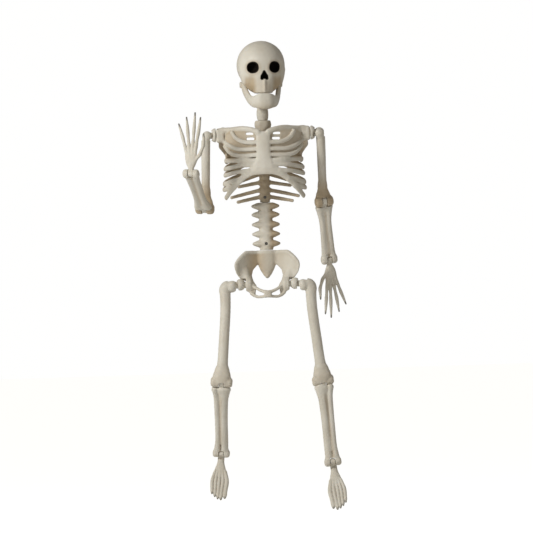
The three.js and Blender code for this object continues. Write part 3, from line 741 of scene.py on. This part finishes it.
def wrapped_rib(rib):
    """A rib from the front round the side to the spine."""
    start, tall, reach = rib["from"], rib["tall"], rib["reach"]
    rows = [[x, chest_y(x), z, 3, tall] for x, z in [start, *rib["middle"]]]
    for degrees in (75, 90, 108, 128, 150, 172):
        angle = math.radians(degrees)
        deep = CHEST["front"] if degrees < 90 else CHEST["back"]
        climb = max(0.0, (degrees - 90) / 86) ** 1.3
        rows.append([reach * math.sin(angle), CHEST["mid_y"] - deep * math.cos(angle),
                     rib["side"] + BACK_RISE * climb, 3, tall])
    return limb(rows, (0, 0, 1), 4)


def back_rib(side_z, rise, start=88):
    rows = []
    for degrees in (start, 110, 130, 150, 172):
        angle = math.radians(degrees)
        climb = max(0.0, (degrees - start) / 84) ** 1.3
        rows.append([72 * math.sin(angle), CHEST["mid_y"] - CHEST["back"] * math.cos(angle),
                     side_z + rise * climb, 3, 4.6])
    return limb(rows, (0, 0, 1), 4)


def shoulder_block():
    return slab([74, -12, 275.5], [SHOULDER_X, 12, 303], 5)


def ribcage():
    clay = Clay([-97, -54, 150], [97, 56, 322], 1.1)
    spine_rows = []
    for z in range(156, 292, 13):
        spine_rows.append([0, SPINE_Y, z, 10.3, 11.5])
        spine_rows.append([0, SPINE_Y, z + 6.5, 9.2, 10])
    clay.add(limb(spine_rows, steps=3))
    for z in range(169, 290, 26):
        clay.add(limb([[0, 40, z + 4, 2.5, 4], [0, 49, z - 3, 2, 3]], (0, 0, 1)), 4)
    clay.add(limb([[0, 12, 313.6, 13.5, 11.5], [0, 12, 308, 16.2, 13], [0, 14, 300, 12.5, 13],
                   [0, 20, 290, 10, 12], [0, 27, 276, 9, 10]]), 4)
    for rib in LOWER_RIBS:
        clay.add(both(wrapped_rib(rib)), 3)
    clay.add(both(together(back_rib(238, 20), back_rib(250, 20, 96))), 3)
    blade = limb([[78, 14, 291, 11, 3.2], [68, 23, 275, 20, 3.2], [62, 29, 256, 14, 3.2],
                  [55, 33, 236, 8, 3], [50, 36, 216, 4, 2.6]])
    clay.add(both(blade), 4)
    ridge = limb([[44, 37, 286, 3, 5], [64, 26, 293, 3, 6], [80, 11, 296, 4, 7]], (0, 0, 1))
    clay.add(both(ridge), 5)
    for z, drop, reach in ((197.5, 8, 50), (182.5, 13.5, 65), (169.5, 9.5, 53)):
        bar = limb([[6, 31, z, 3, 4], [reach * 0.5, 32, z - drop * 0.42, 3, 3.6],
                    [reach, 22, z - drop, 2.6, 3.1]], (0, 0, 1))
        clay.add(both(bar), 4)
    for points in UPPER_RIBS:
        clay.add(both(front_bar(points, 3, 4.1)), 1.6)
    shell = plate([(10, 297), (40, 300), (74, 300), (80, 286), (76, 264), (62, 247), (10, 241)],
                  lambda x, z: chest_y(x) + 4.2, 2.6, 1)
    clay.add(both(shell), 1.5)
    slits = together(slab([18.5, -70, 287.6], [33, 70, 292.6], 2), slab([17, -70, 277.6], [32, 70, 282.6], 2))
    clay.cut(both(slits), 0.6)
    breastbone = limb([[0, -42, 290, 13.5, 4], [0, -43, 281, 14, 4.6], [0, -43.5, 266, 13.6, 4.6],
                       [0, -43.5, 248, 13.8, 4.6], [0, -43, 234, 17, 4.4], [0, -42.6, 226, 18, 4]])
    clay.add(breastbone, 2)
    arch = limb([[0, -43, 221, 4, 9.6], [16, -42, 219.5, 3.6, 9], [28, chest_y(28), 214.5, 3, 7],
                 [40, chest_y(40), 207, 3, 6], [53, chest_y(53), 195, 3, 5.6],
                 [65, chest_y(65), 181.5, 3, 5.4], [75, chest_y(75), 168.5, 3, 5]], (0, 0, 1))
    clay.add(both(arch), 4)
    collarbone = limb([[10, -42, 293, 4.5, 5.5], [24, -38, 298.5, 4, 4.6], [42, -29, 301, 4, 4.5],
                       [60, -17, 299.5, 4.2, 4.6], [76, -6, 298, 5.5, 6]], (0, 0, 1))
    clay.add(both(collarbone), 4)
    clay.add(both(shoulder_block()), 5)
    clay.add(slab([-8, 36, 254], [8, 50, 270], 2.5), 3)
    clay.ripple(0.25, 19)
    clay.keep(1, BACK_FLAT[1], -1)
    clay.cut(both(rod("x", 6.5, [71, 95], [0, 0, 289.5])))
    clay.cut(both(rod("x", 9.6, [74.4, 79.6], [0, 0, 289.5])))
    clay.cut(slab([-18, 10, 120], [18, 56, 158.2]))
    clay.cut(both(rod("y", 3.2, [9.4, 40], [SHOULDER_X - 5, 0, 299.5])))
    clay.cut(both(rod("y", 1.9, [-10.6, 12], [SHOULDER_X - 5, 0, 299.5])))
    clay.cut(rod("y", 3, [-60, 22.6], [0, 0, 168]))
    clay.cut(slab([-22, -6, 316], [22, 28, 330]))
    clay.cut(rod("z", 7, [300, 330], [0, NECK_PIVOT[1], 0]))
    clay.cut(slab([-6.4, SPINE_Y - 6.4, 140], [6.4, SPINE_Y + 6.4, 178.4], 0.5))

    # Painted shade: the inner and back ribs darker, less so at the top and the outer sides, and the parts
    # behind the front wall darker below the upper ribs.
    def painted_shade(points):
        x, y, z = points.T
        deep = 0.75 * ease(y, -18, 8) * (1 - ease(z, 290, 302) * 0.5) * (1 - ease(abs(x), 72, 90) * 0.6)
        behind = ease(y - chest_y(x), 1.2, 3) * ease(z, 236, 244) * (0.5 + 0.25 * ease(-x, 0, 40))
        return np.maximum(deep, behind * (1 - ease(abs(x), 74, 82)) * (1 - ease(z, 294, 299)))
    front, back = halves(clay, 1, CHEST_SPLIT)
    show("ribcage_front_bone", front, torso_place(), "torso", ["ribcage_front"], None, painted_shade, 3.3)
    show("ribcage_back_bone", back, torso_place(), "torso", ["ribcage_back"], None, painted_shade, 3.3)


LUMBAR_Y = 28
FLARES = [151, 134.5, 115.5, 97, 78.5]


def lumbar():
    clay = Clay([-32, 8, 60], [32, 50, 182], 0.9)
    column = [[0, LUMBAR_Y, 157.4, 12.5, 11], [0, LUMBAR_Y, 110, 13, 11], [0, LUMBAR_Y, 69, 13, 11]]
    clay.add(limb(column, steps=2))
    for z in FLARES:
        wing = limb([[0, LUMBAR_Y, z, 8.2, 12], [12, LUMBAR_Y, z, 7, 11.5], [20, LUMBAR_Y, z, 4.6, 10],
                     [24.6, LUMBAR_Y, z, 2.6, 7]])
        clay.add(both(wing), 3)
        clay.add(limb([[0, 38, z + 2, 2.4, 4], [0, 46, z - 3, 2, 3]], (0, 0, 1)), 3)
    for a, b in zip(FLARES, FLARES[1:]):
        middle = (a + b) / 2
        clay.cut(limb([[-20, LUMBAR_Y - 12, middle, 0.9, 2.2], [0, LUMBAR_Y - 13.4, middle, 0.9, 2.2],
                       [20, LUMBAR_Y - 12, middle, 0.9, 2.2]]), 2)
    clay.ripple(0.22, 13)
    clay.keep(2, 157.7, -1)
    clay.keep(2, 66.2, 1)
    clay.cut(rod("y", 3, [-10, 19.6], [0, 0, FLARES[-1]]))
    clay.add(slab([-6, SPINE_Y - 6, 150], [6, SPINE_Y + 6, 178], 0.6))
    clay.cut(rod("y", 2.2, [0, 60], [0, 0, 168]))

    # Painted shade: a slight tan over the whole piece, much darker on its +x side, turned from the light.
    def painted_shade(points):
        return 0.12 + 0.75 * ease(points[:, 0], 1, 13)
    show("lumbar_spine_bone", clay, torso_place(), "torso", ["lumbar_spine"], None, painted_shade, 3)


# ---------------------------------------------------------------------------------------------
# Pelvis

# One wing of the pelvis as a closed outline of (x, z): crest, outer edge, pubis, then the inner edge.
WING = [(13, 62), (19, 64), (30, 65), (41, 64.6), (54, 53), (61.7, 42), (62.6, 34), (60, 23),
        (54, 14), (46, 8), (40, -8), (34, -16), (27, -24), (24, -20), (22, -2), (28, 6),
        (30, 17), (27.5, 28), (20, 36.5), (11, 45)]
CREST = [(16, 61), (30, 61.6), (40, 61), (52, 50.5), (58.6, 41), (59, 32)]


def wing_y(x, z):
    """The wing's depth: a bowl above, and upright at the hip."""
    bowl = 27 - 31 * np.clip((x - 12) / 50, 0, 1) ** 1.25
    upright = 1 + 0.2 * z
    high = ease(z, 0, 24)
    return bowl * high + upright * (1 - high)


def pelvis():
    clay = Clay([-68, -26, -30], [68, 42, 70], 0.85)
    clay.add(both(plate(WING, wing_y, 7, 2.6)))
    rim = [[x, float(wing_y(x, z)), z] for x, z in CREST]
    clay.add(both(wire(rim, [3.6, 4, 4, 4, 3.8, 3.4])), 2)
    clay.add(both(limb([[42, 9, 24, 5, 4], [38, 3, 8, 6.4, 6.4], [34, 0, -3, 6.6, 7.6]])), 10)
    clay.add(both(rod("x", 11.6, [31, 41.8], [0, 0, 0], 3)), 4)
    clay.add(limb([[0, 26, 61, 19, 9], [0, 26, 50, 18.4, 9.5], [0, 27, 36, 16, 9], [0, 27, 24, 10, 7.5],
                   [0, 24, 16, 4.5, 5]]), 4)
    clay.add(both(limb([[30, -2, -1, 4.2, 5.4], [21, -9, -7.4, 3, 3.6], [11, -14, -12.4, 3, 3.2],
                        [0, -17, -15.4, 3.4, 4.4]])), 3)
    clay.add(both(limb([[31, -3, -17, 3.4, 5], [22, -9, -23, 2.8, 2.6], [12, -13, -23.6, 2.6, 2.2],
                        [0, -17, -21.6, 3, 3.4]])), 2)
    clay.add(slab([-7, -20.4, -24.8], [7, -13.6, -12.6], 3), 3)
    clay.ripple(0.22, 15)
    clay.keep(2, 65.6, -1)
    clay.cut(both(rod("x", 6.5, [30, 60], [0, 0, 0])))
    clay.cut(both(rod("x", 12.3, [42, 64], [0, 0, 0])))

    # Painted shade: the back of the bowl darker, most on the -x wing, which faces away from the light, and
    # darker towards the bottom.
    def painted_shade(points):
        x, y, z = points.T
        inner = ease(y, 0, 20) * (1 - ease(z, 57, 62))
        return (0.25 + 0.65 * ease(-x, -6, 24)) * inner + 0.15 * ease(-z, -10, 20)
    show("pelvis_bone", clay, torso_place(), "torso", ["pelvis"], None, painted_shade, 3.2)


# ---------------------------------------------------------------------------------------------
# Knuckles: the short links between the torso and the limbs

def knuckle_stem(clay, plug_radius, plug_from):
    clay.add(rod("x", plug_radius, [plug_from, 1], [0, 0, 0], 0.5))
    clay.add(slab([2, -TONGUE_HALF, -6], [REACH, TONGUE_HALF, 6], 0.8))
    clay.add(rod("y", TONGUE_R, [-TONGUE_HALF, TONGUE_HALF], [REACH, 0, 0], 0.8), 2)
    clay.cut(rod("y", 2.7, [-20, 20], [REACH, 0, 0]))


def shoulder_knuckle(name, side):
    clay = Clay([-20, -16, -16], [28, 16, 16], 0.7)
    clay.add(blob([1.4, 0, 0.4], [10, 12.8, 13.4]))
    clay.keep(0, 0.3, 1)
    clay.cut(rod("y", 12, [-20, 20], [REACH, 0, 0]))
    knuckle_stem(clay, 6, -15)
    clay.add(rod("x", 9, [-16, -12], [0, 0, 0], 0.5))
    show(f"{name}_shoulder_knuckle_bone", clay, shoulder_place(name, side), f"{name}_shoulder",
         [f"{name}_shoulder_knuckle"])


def hip_knuckle(name, side):
    clay = Clay([-24, -14, -14], [28, 14, 14], 0.7)
    clay.add(blob([1.6, 0, 0.6], [9.6, 11, 11.2]))
    clay.cut(rod("y", 11.8, [-20, 20], [REACH, 0, 0]))
    clay.cut(rod("y", 12.2, [-20, 20], [REACH, 0, -4.5]))
    knuckle_stem(clay, 6, -20)
    show(f"{name}_hip_knuckle_bone", clay, hip_place(name, side), f"{name}_hip", [f"{name}_hip_knuckle"])


# ---------------------------------------------------------------------------------------------
# Arms

ELBOW = np.array([0, -HINGE_OFF, -UPPER_ARM])


def upper_arm(name, side):
    end = -UPPER_ARM
    clay = Clay([-24, -24, end - 17], [26, 22, 18], 0.75)
    clay.add(blob([0, 0, 0], [10.3, 11.6, 10.3]))
    clay.add(limb([[3.6, 0, -0.6, 6.6, 8.6], [2.4, 0, -9, 8.4, 9], [2, 0, -25, 8.6, 8.4],
                   [1.2, 0, -60, 8.3, 7.6], [0.4, 0, end + 47, 8.1, 7], [0, 0.5, end + 31, 8.4, 6.8]]), 4)
    lower = limb([[0, 0.5, end + 35, 8, 6.4], [0, 1, end + 23, 10.4, 6.6], [0, 1, end + 13, 14, 7],
                  [0, 0, end + 5, 15, 7]])
    clay.add(turned(lower, ELBOW_TOE_OUT), 4)
    clay.add(turned(rod("x", FORK_R, [-18, 18], ELBOW, 5.5), ELBOW_TOE_OUT), 4)
    clay.ripple(0.22, 13)
    _, y, z = ELBOW
    slot = slab([-SLOT_HALF, y - 30, z - 30], [SLOT_HALF, y + 30, z + TONGUE_R + ROOM], 1)
    clay.cut(turned(slot, ELBOW_TOE_OUT), 0.8)
    clay.cut(turned(rod("x", PIN_HOLE_R, [-16.6, 16.6], ELBOW), ELBOW_TOE_OUT))
    clay.cut(slab([-20, -SLOT_HALF, -TONGUE_R - ROOM], [20, SLOT_HALF, 30], 1), 0.8)
    clay.cut(rod("y", PIN_HOLE_R, [-9.9, 9.9], [0, 0, 0]))

    # Painted shade: darker towards the elbow, where the arm's front turns down from the light.
    def painted_shade(points):
        return 0.85 * ease(-points[:, 2], 70, 125)
    show(f"{name}_upper_arm_bone", clay, upper_arm_place(name, side), f"{name}_upper_arm",
         [f"{name}_upper_arm"], None, painted_shade)


def forearm(name, side):
    end = -FOREARM
    clay = Clay([-22, -16, end - 14], [22, 16, 12], 0.75)
    inner = limb([[-9, 4, -12, 8.4, 6.8], [-8, 4, -24, 6.4, 6.2], [-6.6, 3.4, -40, 5.6, 5.6],
                  [-6.8, 2, -66, 5.5, 5.4], [-7.4, 1, end + 22, 5.8, 5.6], [-8, 0, end + 6, 6.8, 6.6]])
    outer = limb([[9, 4, -12, 8.4, 6.8], [8.2, 4, -24, 6.2, 6.2], [6.6, 3.4, -40, 5.4, 5.4],
                  [6.8, 2, -66, 5.3, 5.2], [7.2, 1, end + 22, 5.6, 5.6], [8, 0, end + 6, 6.8, 6.6]])
    web = limb([[0, 4, -14, 12, 6], [0, 3.6, -36, 6, 4.4], [0, 2, -64, 6, 4], [0, 0.6, end + 16, 8, 5.4]])
    clay.add(together(inner, outer), 3)
    clay.add(web, 3)
    clay.add(rod("x", SMALL_FORK_R, [-16, 16], [0, 0, end], 5.5), 5)
    clay.cut(rod("x", FORK_R + ROOM, [-30, 30], [0, 0, 0]), 0.8)
    clay.add(slab([-TONGUE_HALF, -1, -15], [TONGUE_HALF, 7.5, 0], 0.8), 0.5)
    clay.add(rod("x", TONGUE_R, [-TONGUE_HALF, TONGUE_HALF], [0, 0, 0], 0.8), 1)
    clay.ripple(0.2, 12)
    clay.cut(slab([-SLOT_HALF, -30, end - 30], [SLOT_HALF, 30, end + SMALL_TONGUE_ROOM], 1), 0.8)
    clay.cut(rod("x", PIN_HOLE_R, [-14.6, 14.6], [0, 0, end]))
    clay.cut(rod("x", PIN_HOLE_R, [-30, 30], [0, 0, 0]))

    # Painted shade in the groove between the two bones.
    def valley(points):
        x, _, z = points.T
        return 0.4 * (1 - ease(abs(x), 1, 4)) * ease(-z, 16, 30)
    show(f"{name}_forearm_bone", clay, forearm_place(name, side), f"{name}_forearm", [f"{name}_forearm"],
         None, valley)


# Fingers, thumb first, as [x, z] of each joint from the palm to the tip.
FINGERS = [
    [[-6, -22], [-17, -37], [-23.5, -54], [-24, -76]],
    [[-5, -24], [-9, -52], [-13, -78], [-17, -107]],
    [[-1.5, -24], [-2.5, -54], [-4, -82], [-6, -116]],
    [[2, -24], [5, -52], [8, -78], [11, -107]],
    [[5, -23], [11.5, -47], [18, -69], [26, -94]],
]


def finger(points):
    """Bones that thin at their middles and swell at the knuckles between them."""
    rows = []
    size = 3.9
    for (x0, z0), (x1, z1) in zip(points, points[1:]):
        rows.append([x0, -0.4, z0, size, size])
        rows.append([(x0 + x1) / 2, -0.2, (z0 + z1) / 2, size * 0.78, size * 0.8])
        size *= 0.93
    x, z = points[-1]
    rows.append([x, 0.6, z, 1.4, 1.6])
    return limb(rows, steps=4)


def hand(name, side):
    clay = Clay([-30, -10, -122], [32, 12, 12], 0.75)
    clay.add(limb([[0, 0, -11, 5.6, 4.6], [0, 0, -19, 9.6, 5], [0.5, 0, -30, 11.5, 4], [1, 0, -46, 12, 2.6]]))
    for points in FINGERS:
        clay.add(finger(points), 1.6)
    clay.add(rod("x", 6.3, [-TONGUE_HALF, TONGUE_HALF], [0, 0, 0], 0.8), 1)
    clay.add(slab([-TONGUE_HALF, -4, -14], [TONGUE_HALF, 4, 0], 0.8), 1.5)
    clay.ripple(0.2, 11)
    clay.cut(rod("x", 2.7, [-20, 20], [0, 0, 0]))
    tips = [np.array([points[-1][0], 0, points[-1][1]]) for points in FINGERS]

    def paint(points):
        near = np.min([np.linalg.norm(points - tip, axis=1) for tip in tips], axis=0)
        return 0.7 * (1 - ease(near, 2, 9))
    show(f"{name}_hand_bone", clay, hand_place(name, side), f"{name}_hand", [f"{name}_hand"],
         paint, None, 2.2)


# ---------------------------------------------------------------------------------------------
# Legs

THIGH_OUT = 9.7
KNEE = np.array([THIGH_OUT, HINGE_OFF, -THIGH])
ANKLE = np.array([-5, 0, -SHIN])


def thigh(name, side):
    end = -THIGH
    clay = Clay([-14, -16, end - 15], [36, 18, 16], 0.85)
    clay.add(blob([0, 0, -0.6], [9.6, 11.6, 9.6]))
    clay.add(blob([1, 0, -4.4], [10, 11.4, 9.6]), 2)
    clay.add(limb([[2, 0, -2.4, 8.6, 9.6], [10, 0, -3.4, 11.4, 10], [14, 0, -10, 11, 9.8],
                   [12.4, 0, -22, 10.4, 9.4], [10.6, 0, -44, 9.9, 9], [10, 0, -72, 9.8, 8.8],
                   [THIGH_OUT, 0, end + 72, 9.8, 8.6],
                   [THIGH_OUT, 0, end + 38, 10.2, 8.6], [THIGH_OUT, 0, end + 22, 13, 8.8]]), 3)
    clay.add(limb([[THIGH_OUT, 0, end + 24, 12.6, 8.6], [THIGH_OUT, 0, end + 12, 17, 9.4],
                   [THIGH_OUT, 2, end + 2, 17.4, 10]]), 4)
    clay.add(rod("x", FORK_R, [THIGH_OUT - 21, THIGH_OUT + 21], KNEE, 6.5), 2)
    clay.add(blob([THIGH_OUT, -4.6, end + 10], [14, 5.6, 10]), 4)
    clay.ripple(0.25, 16)
    x, _, z = KNEE
    clay.cut(slab([x - SLOT_HALF, -5, z - 30], [x + SLOT_HALF, 40, z + TONGUE_R + ROOM], 1), 0.8)
    clay.cut(slab([-30, -SLOT_HALF, -TONGUE_R - ROOM], [9.4, SLOT_HALF, 30], 1), 0.8)
    clay.cut(rod("y", PIN_HOLE_R, [-9.9, 9.9], [0, 0, 0]))
    clay.cut(rod("x", PIN_HOLE_R, [x - 19.6, x + 19.6], KNEE))

    # Painted shade: a little darker towards the knee.
    def painted_shade(points):
        return 0.25 * ease(-points[:, 2], 150, 190)
    show(f"{name}_thigh_bone", clay, thigh_place(name, side), f"{name}_thigh", [f"{name}_thigh"],
         None, painted_shade)


def shin(name, side):
    x, _, z = ANKLE
    clay = Clay([-26, -18, z - 14], [24, 16, 12], 0.8)
    tibia = limb([[-5, -4, -13, 14, 8], [-6, -4, -22, 10.6, 7.6], [-6, -4, -38, 8.4, 7.2],
                  [-7.4, -2, -80, 7.6, 6.8], [-10, -1, z + 34, 7.2, 6.2], [-11, 0, z + 12, 7.2, 6.6]])
    fibula = limb([[12, -3, -14, 6.6, 6.8], [9.6, -3, -26, 5.4, 5.8], [7.6, -3, -44, 5.2, 5.2],
                   [5, -2, -82, 5.2, 5], [2.4, -1, z + 34, 5.2, 5], [2.4, 0, z + 12, 6.6, 6.4]])
    web = limb([[2, -2, -16, 12, 6], [1, -2, -42, 6, 4.4], [-1.4, -1, -82, 6, 4], [-4, 0, z + 26, 6.4, 4.4]])
    clay.add(together(tibia, fibula), 3)
    clay.add(web, 3)
    clay.add(rod("x", SMALL_FORK_R, [x - 16.6, x + 16.6], ANKLE, 5.8), 6)
    clay.cut(rod("x", FORK_R + ROOM, [-40, 40], [0, 0, 0]), 0.8)
    clay.add(slab([-TONGUE_HALF, -7.5, -15], [TONGUE_HALF, 1, 0], 0.8), 0.5)
    clay.add(rod("x", TONGUE_R, [-TONGUE_HALF, TONGUE_HALF], [0, 0, 0], 0.8), 1)
    clay.ripple(0.22, 14)
    clay.cut(slab([x - SLOT_HALF, -30, z - 30], [x + SLOT_HALF, 30, z + SMALL_TONGUE_ROOM], 1), 0.8)
    clay.cut(rod("x", PIN_HOLE_R, [x - 14.6, x + 14.6], ANKLE))
    clay.cut(rod("x", PIN_HOLE_R, [-40, 40], [0, 0, 0]))

    # Painted shade in the groove between the tibia and the fibula.
    def valley(points):
        x, _, z = points.T
        return 0.4 * (1 - ease(abs(x - 0.02 * z - 1), 1, 4)) * ease(-z, 20, 36)
    show(f"{name}_shin_bone", clay, shin_place(name, side), f"{name}_shin", [f"{name}_shin"], None, valley)


TOES = [
    {"root": -13.4, "tip": -12.4, "end": -98, "half": 4.4},
    {"root": -6.4, "tip": -5, "end": -102, "half": 3.7},
    {"root": 0.4, "tip": 1, "end": -100, "half": 3.6},
    {"root": 7, "tip": 7, "end": -95, "half": 3.5},
    {"root": 13.4, "tip": 12.8, "end": -88, "half": 3.5},
]


def foot(name, side):
    clay = Clay([-22, -106, -26], [22, 22, 10], 0.8)
    clay.add(limb([[0, 14, -15, 6, 5], [0, 3, -14.6, 6.4, 6], [0, -12, -14.4, 6.8, 5.6],
                   [0, -28, -15.2, 10.6, 4.8], [0, -46, -16.4, 14.6, 3.6]], (0, 0, 1)))
    for toe in TOES:
        across, tip, end, half = toe["root"], toe["tip"], toe["end"], toe["half"]
        rows = [[across * 0.7, -34, -15.2, half * 0.9, 4], [across * 1.04, -56, -16.6, half, 3.9],
                [(across + tip) / 2, -78, -18, half * 0.92, 3.3], [tip, end + 8, -18.8, half * 0.95, 3],
                [tip, end + 2, -19.4, half * 0.5, 1.8]]
        clay.add(limb(rows, (0, 0, 1)), 0.7)
    clay.add(rod("x", 6.3, [-TONGUE_HALF, TONGUE_HALF], [0, 0, 0], 0.8), 1)
    clay.add(slab([-TONGUE_HALF, -4.5, -14], [TONGUE_HALF, 4.5, 0], 0.8), 1.5)
    clay.ripple(0.2, 12)
    clay.cut(rod("x", 2.7, [-20, 20], [0, 0, 0]))
    tips = [np.array([toe["tip"], toe["end"], -19.4]) for toe in TOES]

    def paint(points):
        near = np.min([np.linalg.norm(points - tip, axis=1) for tip in tips], axis=0)
        return 0.5 * (1 - ease(near, 2, 7))
    show(f"{name}_foot_bone", clay, foot_place(name, side), f"{name}_foot", [f"{name}_foot"],
         paint, None, 2.2)


# ---------------------------------------------------------------------------------------------
# Stage

def photo_camera():
    """A long lens straight ahead, rolled because the figure hangs with a slight lean."""
    centre = Vector((-1.2, -50, -227.7)) * MM
    width = 1.027
    distance = 10
    roll = 1.75
    data = bpy.data.cameras.new("camera")
    data.sensor_width = 36
    data.lens = data.sensor_width * distance / width
    camera = bpy.data.objects.new("camera", data)
    bpy.context.scene.collection.objects.link(camera)
    camera.location = centre + Vector((0, -distance, 0))
    camera.rotation_euler = (math.radians(90), math.radians(roll), 0)
    bpy.context.scene.camera = camera


def light(name, location, target, size, power, colour):
    data = bpy.data.lights.new(name, "AREA")
    data.shape = "DISK"
    data.size = size
    data.energy = power
    data.color = colour
    lamp = bpy.data.objects.new(name, data)
    bpy.context.scene.collection.objects.link(lamp)
    lamp.location = location
    lamp.rotation_euler = (Vector(target) - Vector(location)).to_track_quat("-Z", "Y").to_euler()


def floor():
    """A pale floor that shines only for the camera, so that it adds no light to the figure."""
    z = CAD_LOW.z - 0.14
    mesh = bpy.data.meshes.new("floor")
    mesh.from_pydata([(-20, -20, z), (20, -20, z), (20, 20, z), (-20, 20, z)], [], [(0, 1, 2, 3)])
    ground = bpy.data.objects.new("floor", mesh)
    bpy.context.scene.collection.objects.link(ground)
    material, nodes, links, shader = new_material("floor")
    shader.inputs["Base Color"].default_value = (0.94, 0.94, 0.93, 1)
    shader.inputs["Roughness"].default_value = 0.95
    shader.inputs["Emission Color"].default_value = (1, 1, 0.99, 1)
    camera_ray = nodes.new("ShaderNodeLightPath").outputs["Is Camera Ray"]
    links.new(ramp(nodes, links, camera_ray, 0, 1, (0, 0.75)), shader.inputs["Emission Strength"])
    mesh.materials.append(material)


def sky():
    """White where the camera sees it, and a dim warm light everywhere else."""
    world = bpy.data.worlds.new("studio")
    bpy.context.scene.world = world
    world.use_nodes = True
    nodes, links = world.node_tree.nodes, world.node_tree.links
    soft = nodes["Background"]
    soft.inputs["Color"].default_value = (1, 0.965, 0.9, 1)
    soft.inputs["Strength"].default_value = 0.27
    white = nodes.new("ShaderNodeBackground")
    white.inputs["Color"].default_value = (1, 1, 0.995, 1)
    seen = nodes.new("ShaderNodeMixShader")
    links.new(nodes.new("ShaderNodeLightPath").outputs["Is Camera Ray"], seen.inputs["Fac"])
    links.new(soft.outputs["Background"], seen.inputs[1])
    links.new(white.outputs["Background"], seen.inputs[2])
    links.new(seen.outputs["Shader"], nodes["World Output"].inputs["Surface"])


def stage():
    floor()
    sky()
    light("key", (-2.3, -2.0, 1.2), (0, 0, -0.25), 0.8, 68, (1, 0.99, 0.965))
    light("fill", (2.0, -1.4, 0.0), (0, 0, -0.3), 1.4, 2, (1, 0.93, 0.84))


skull()
jaw()
neck()
ribcage()
lumbar()
pelvis()
for name, side in SIDES.items():
    shoulder_knuckle(name, side)
    hip_knuckle(name, side)
    upper_arm(name, side)
    forearm(name, side)
    hand(name, side)
    thigh(name, side)
    shin(name, side)
    foot(name, side)
for node in frame["nodes"].values():
    if not node.hide_render:
        node.data.materials.clear()
        node.data.materials.append(STEEL)
photo_camera()
stage()
bpy.context.scene.view_settings.view_transform = "Standard"
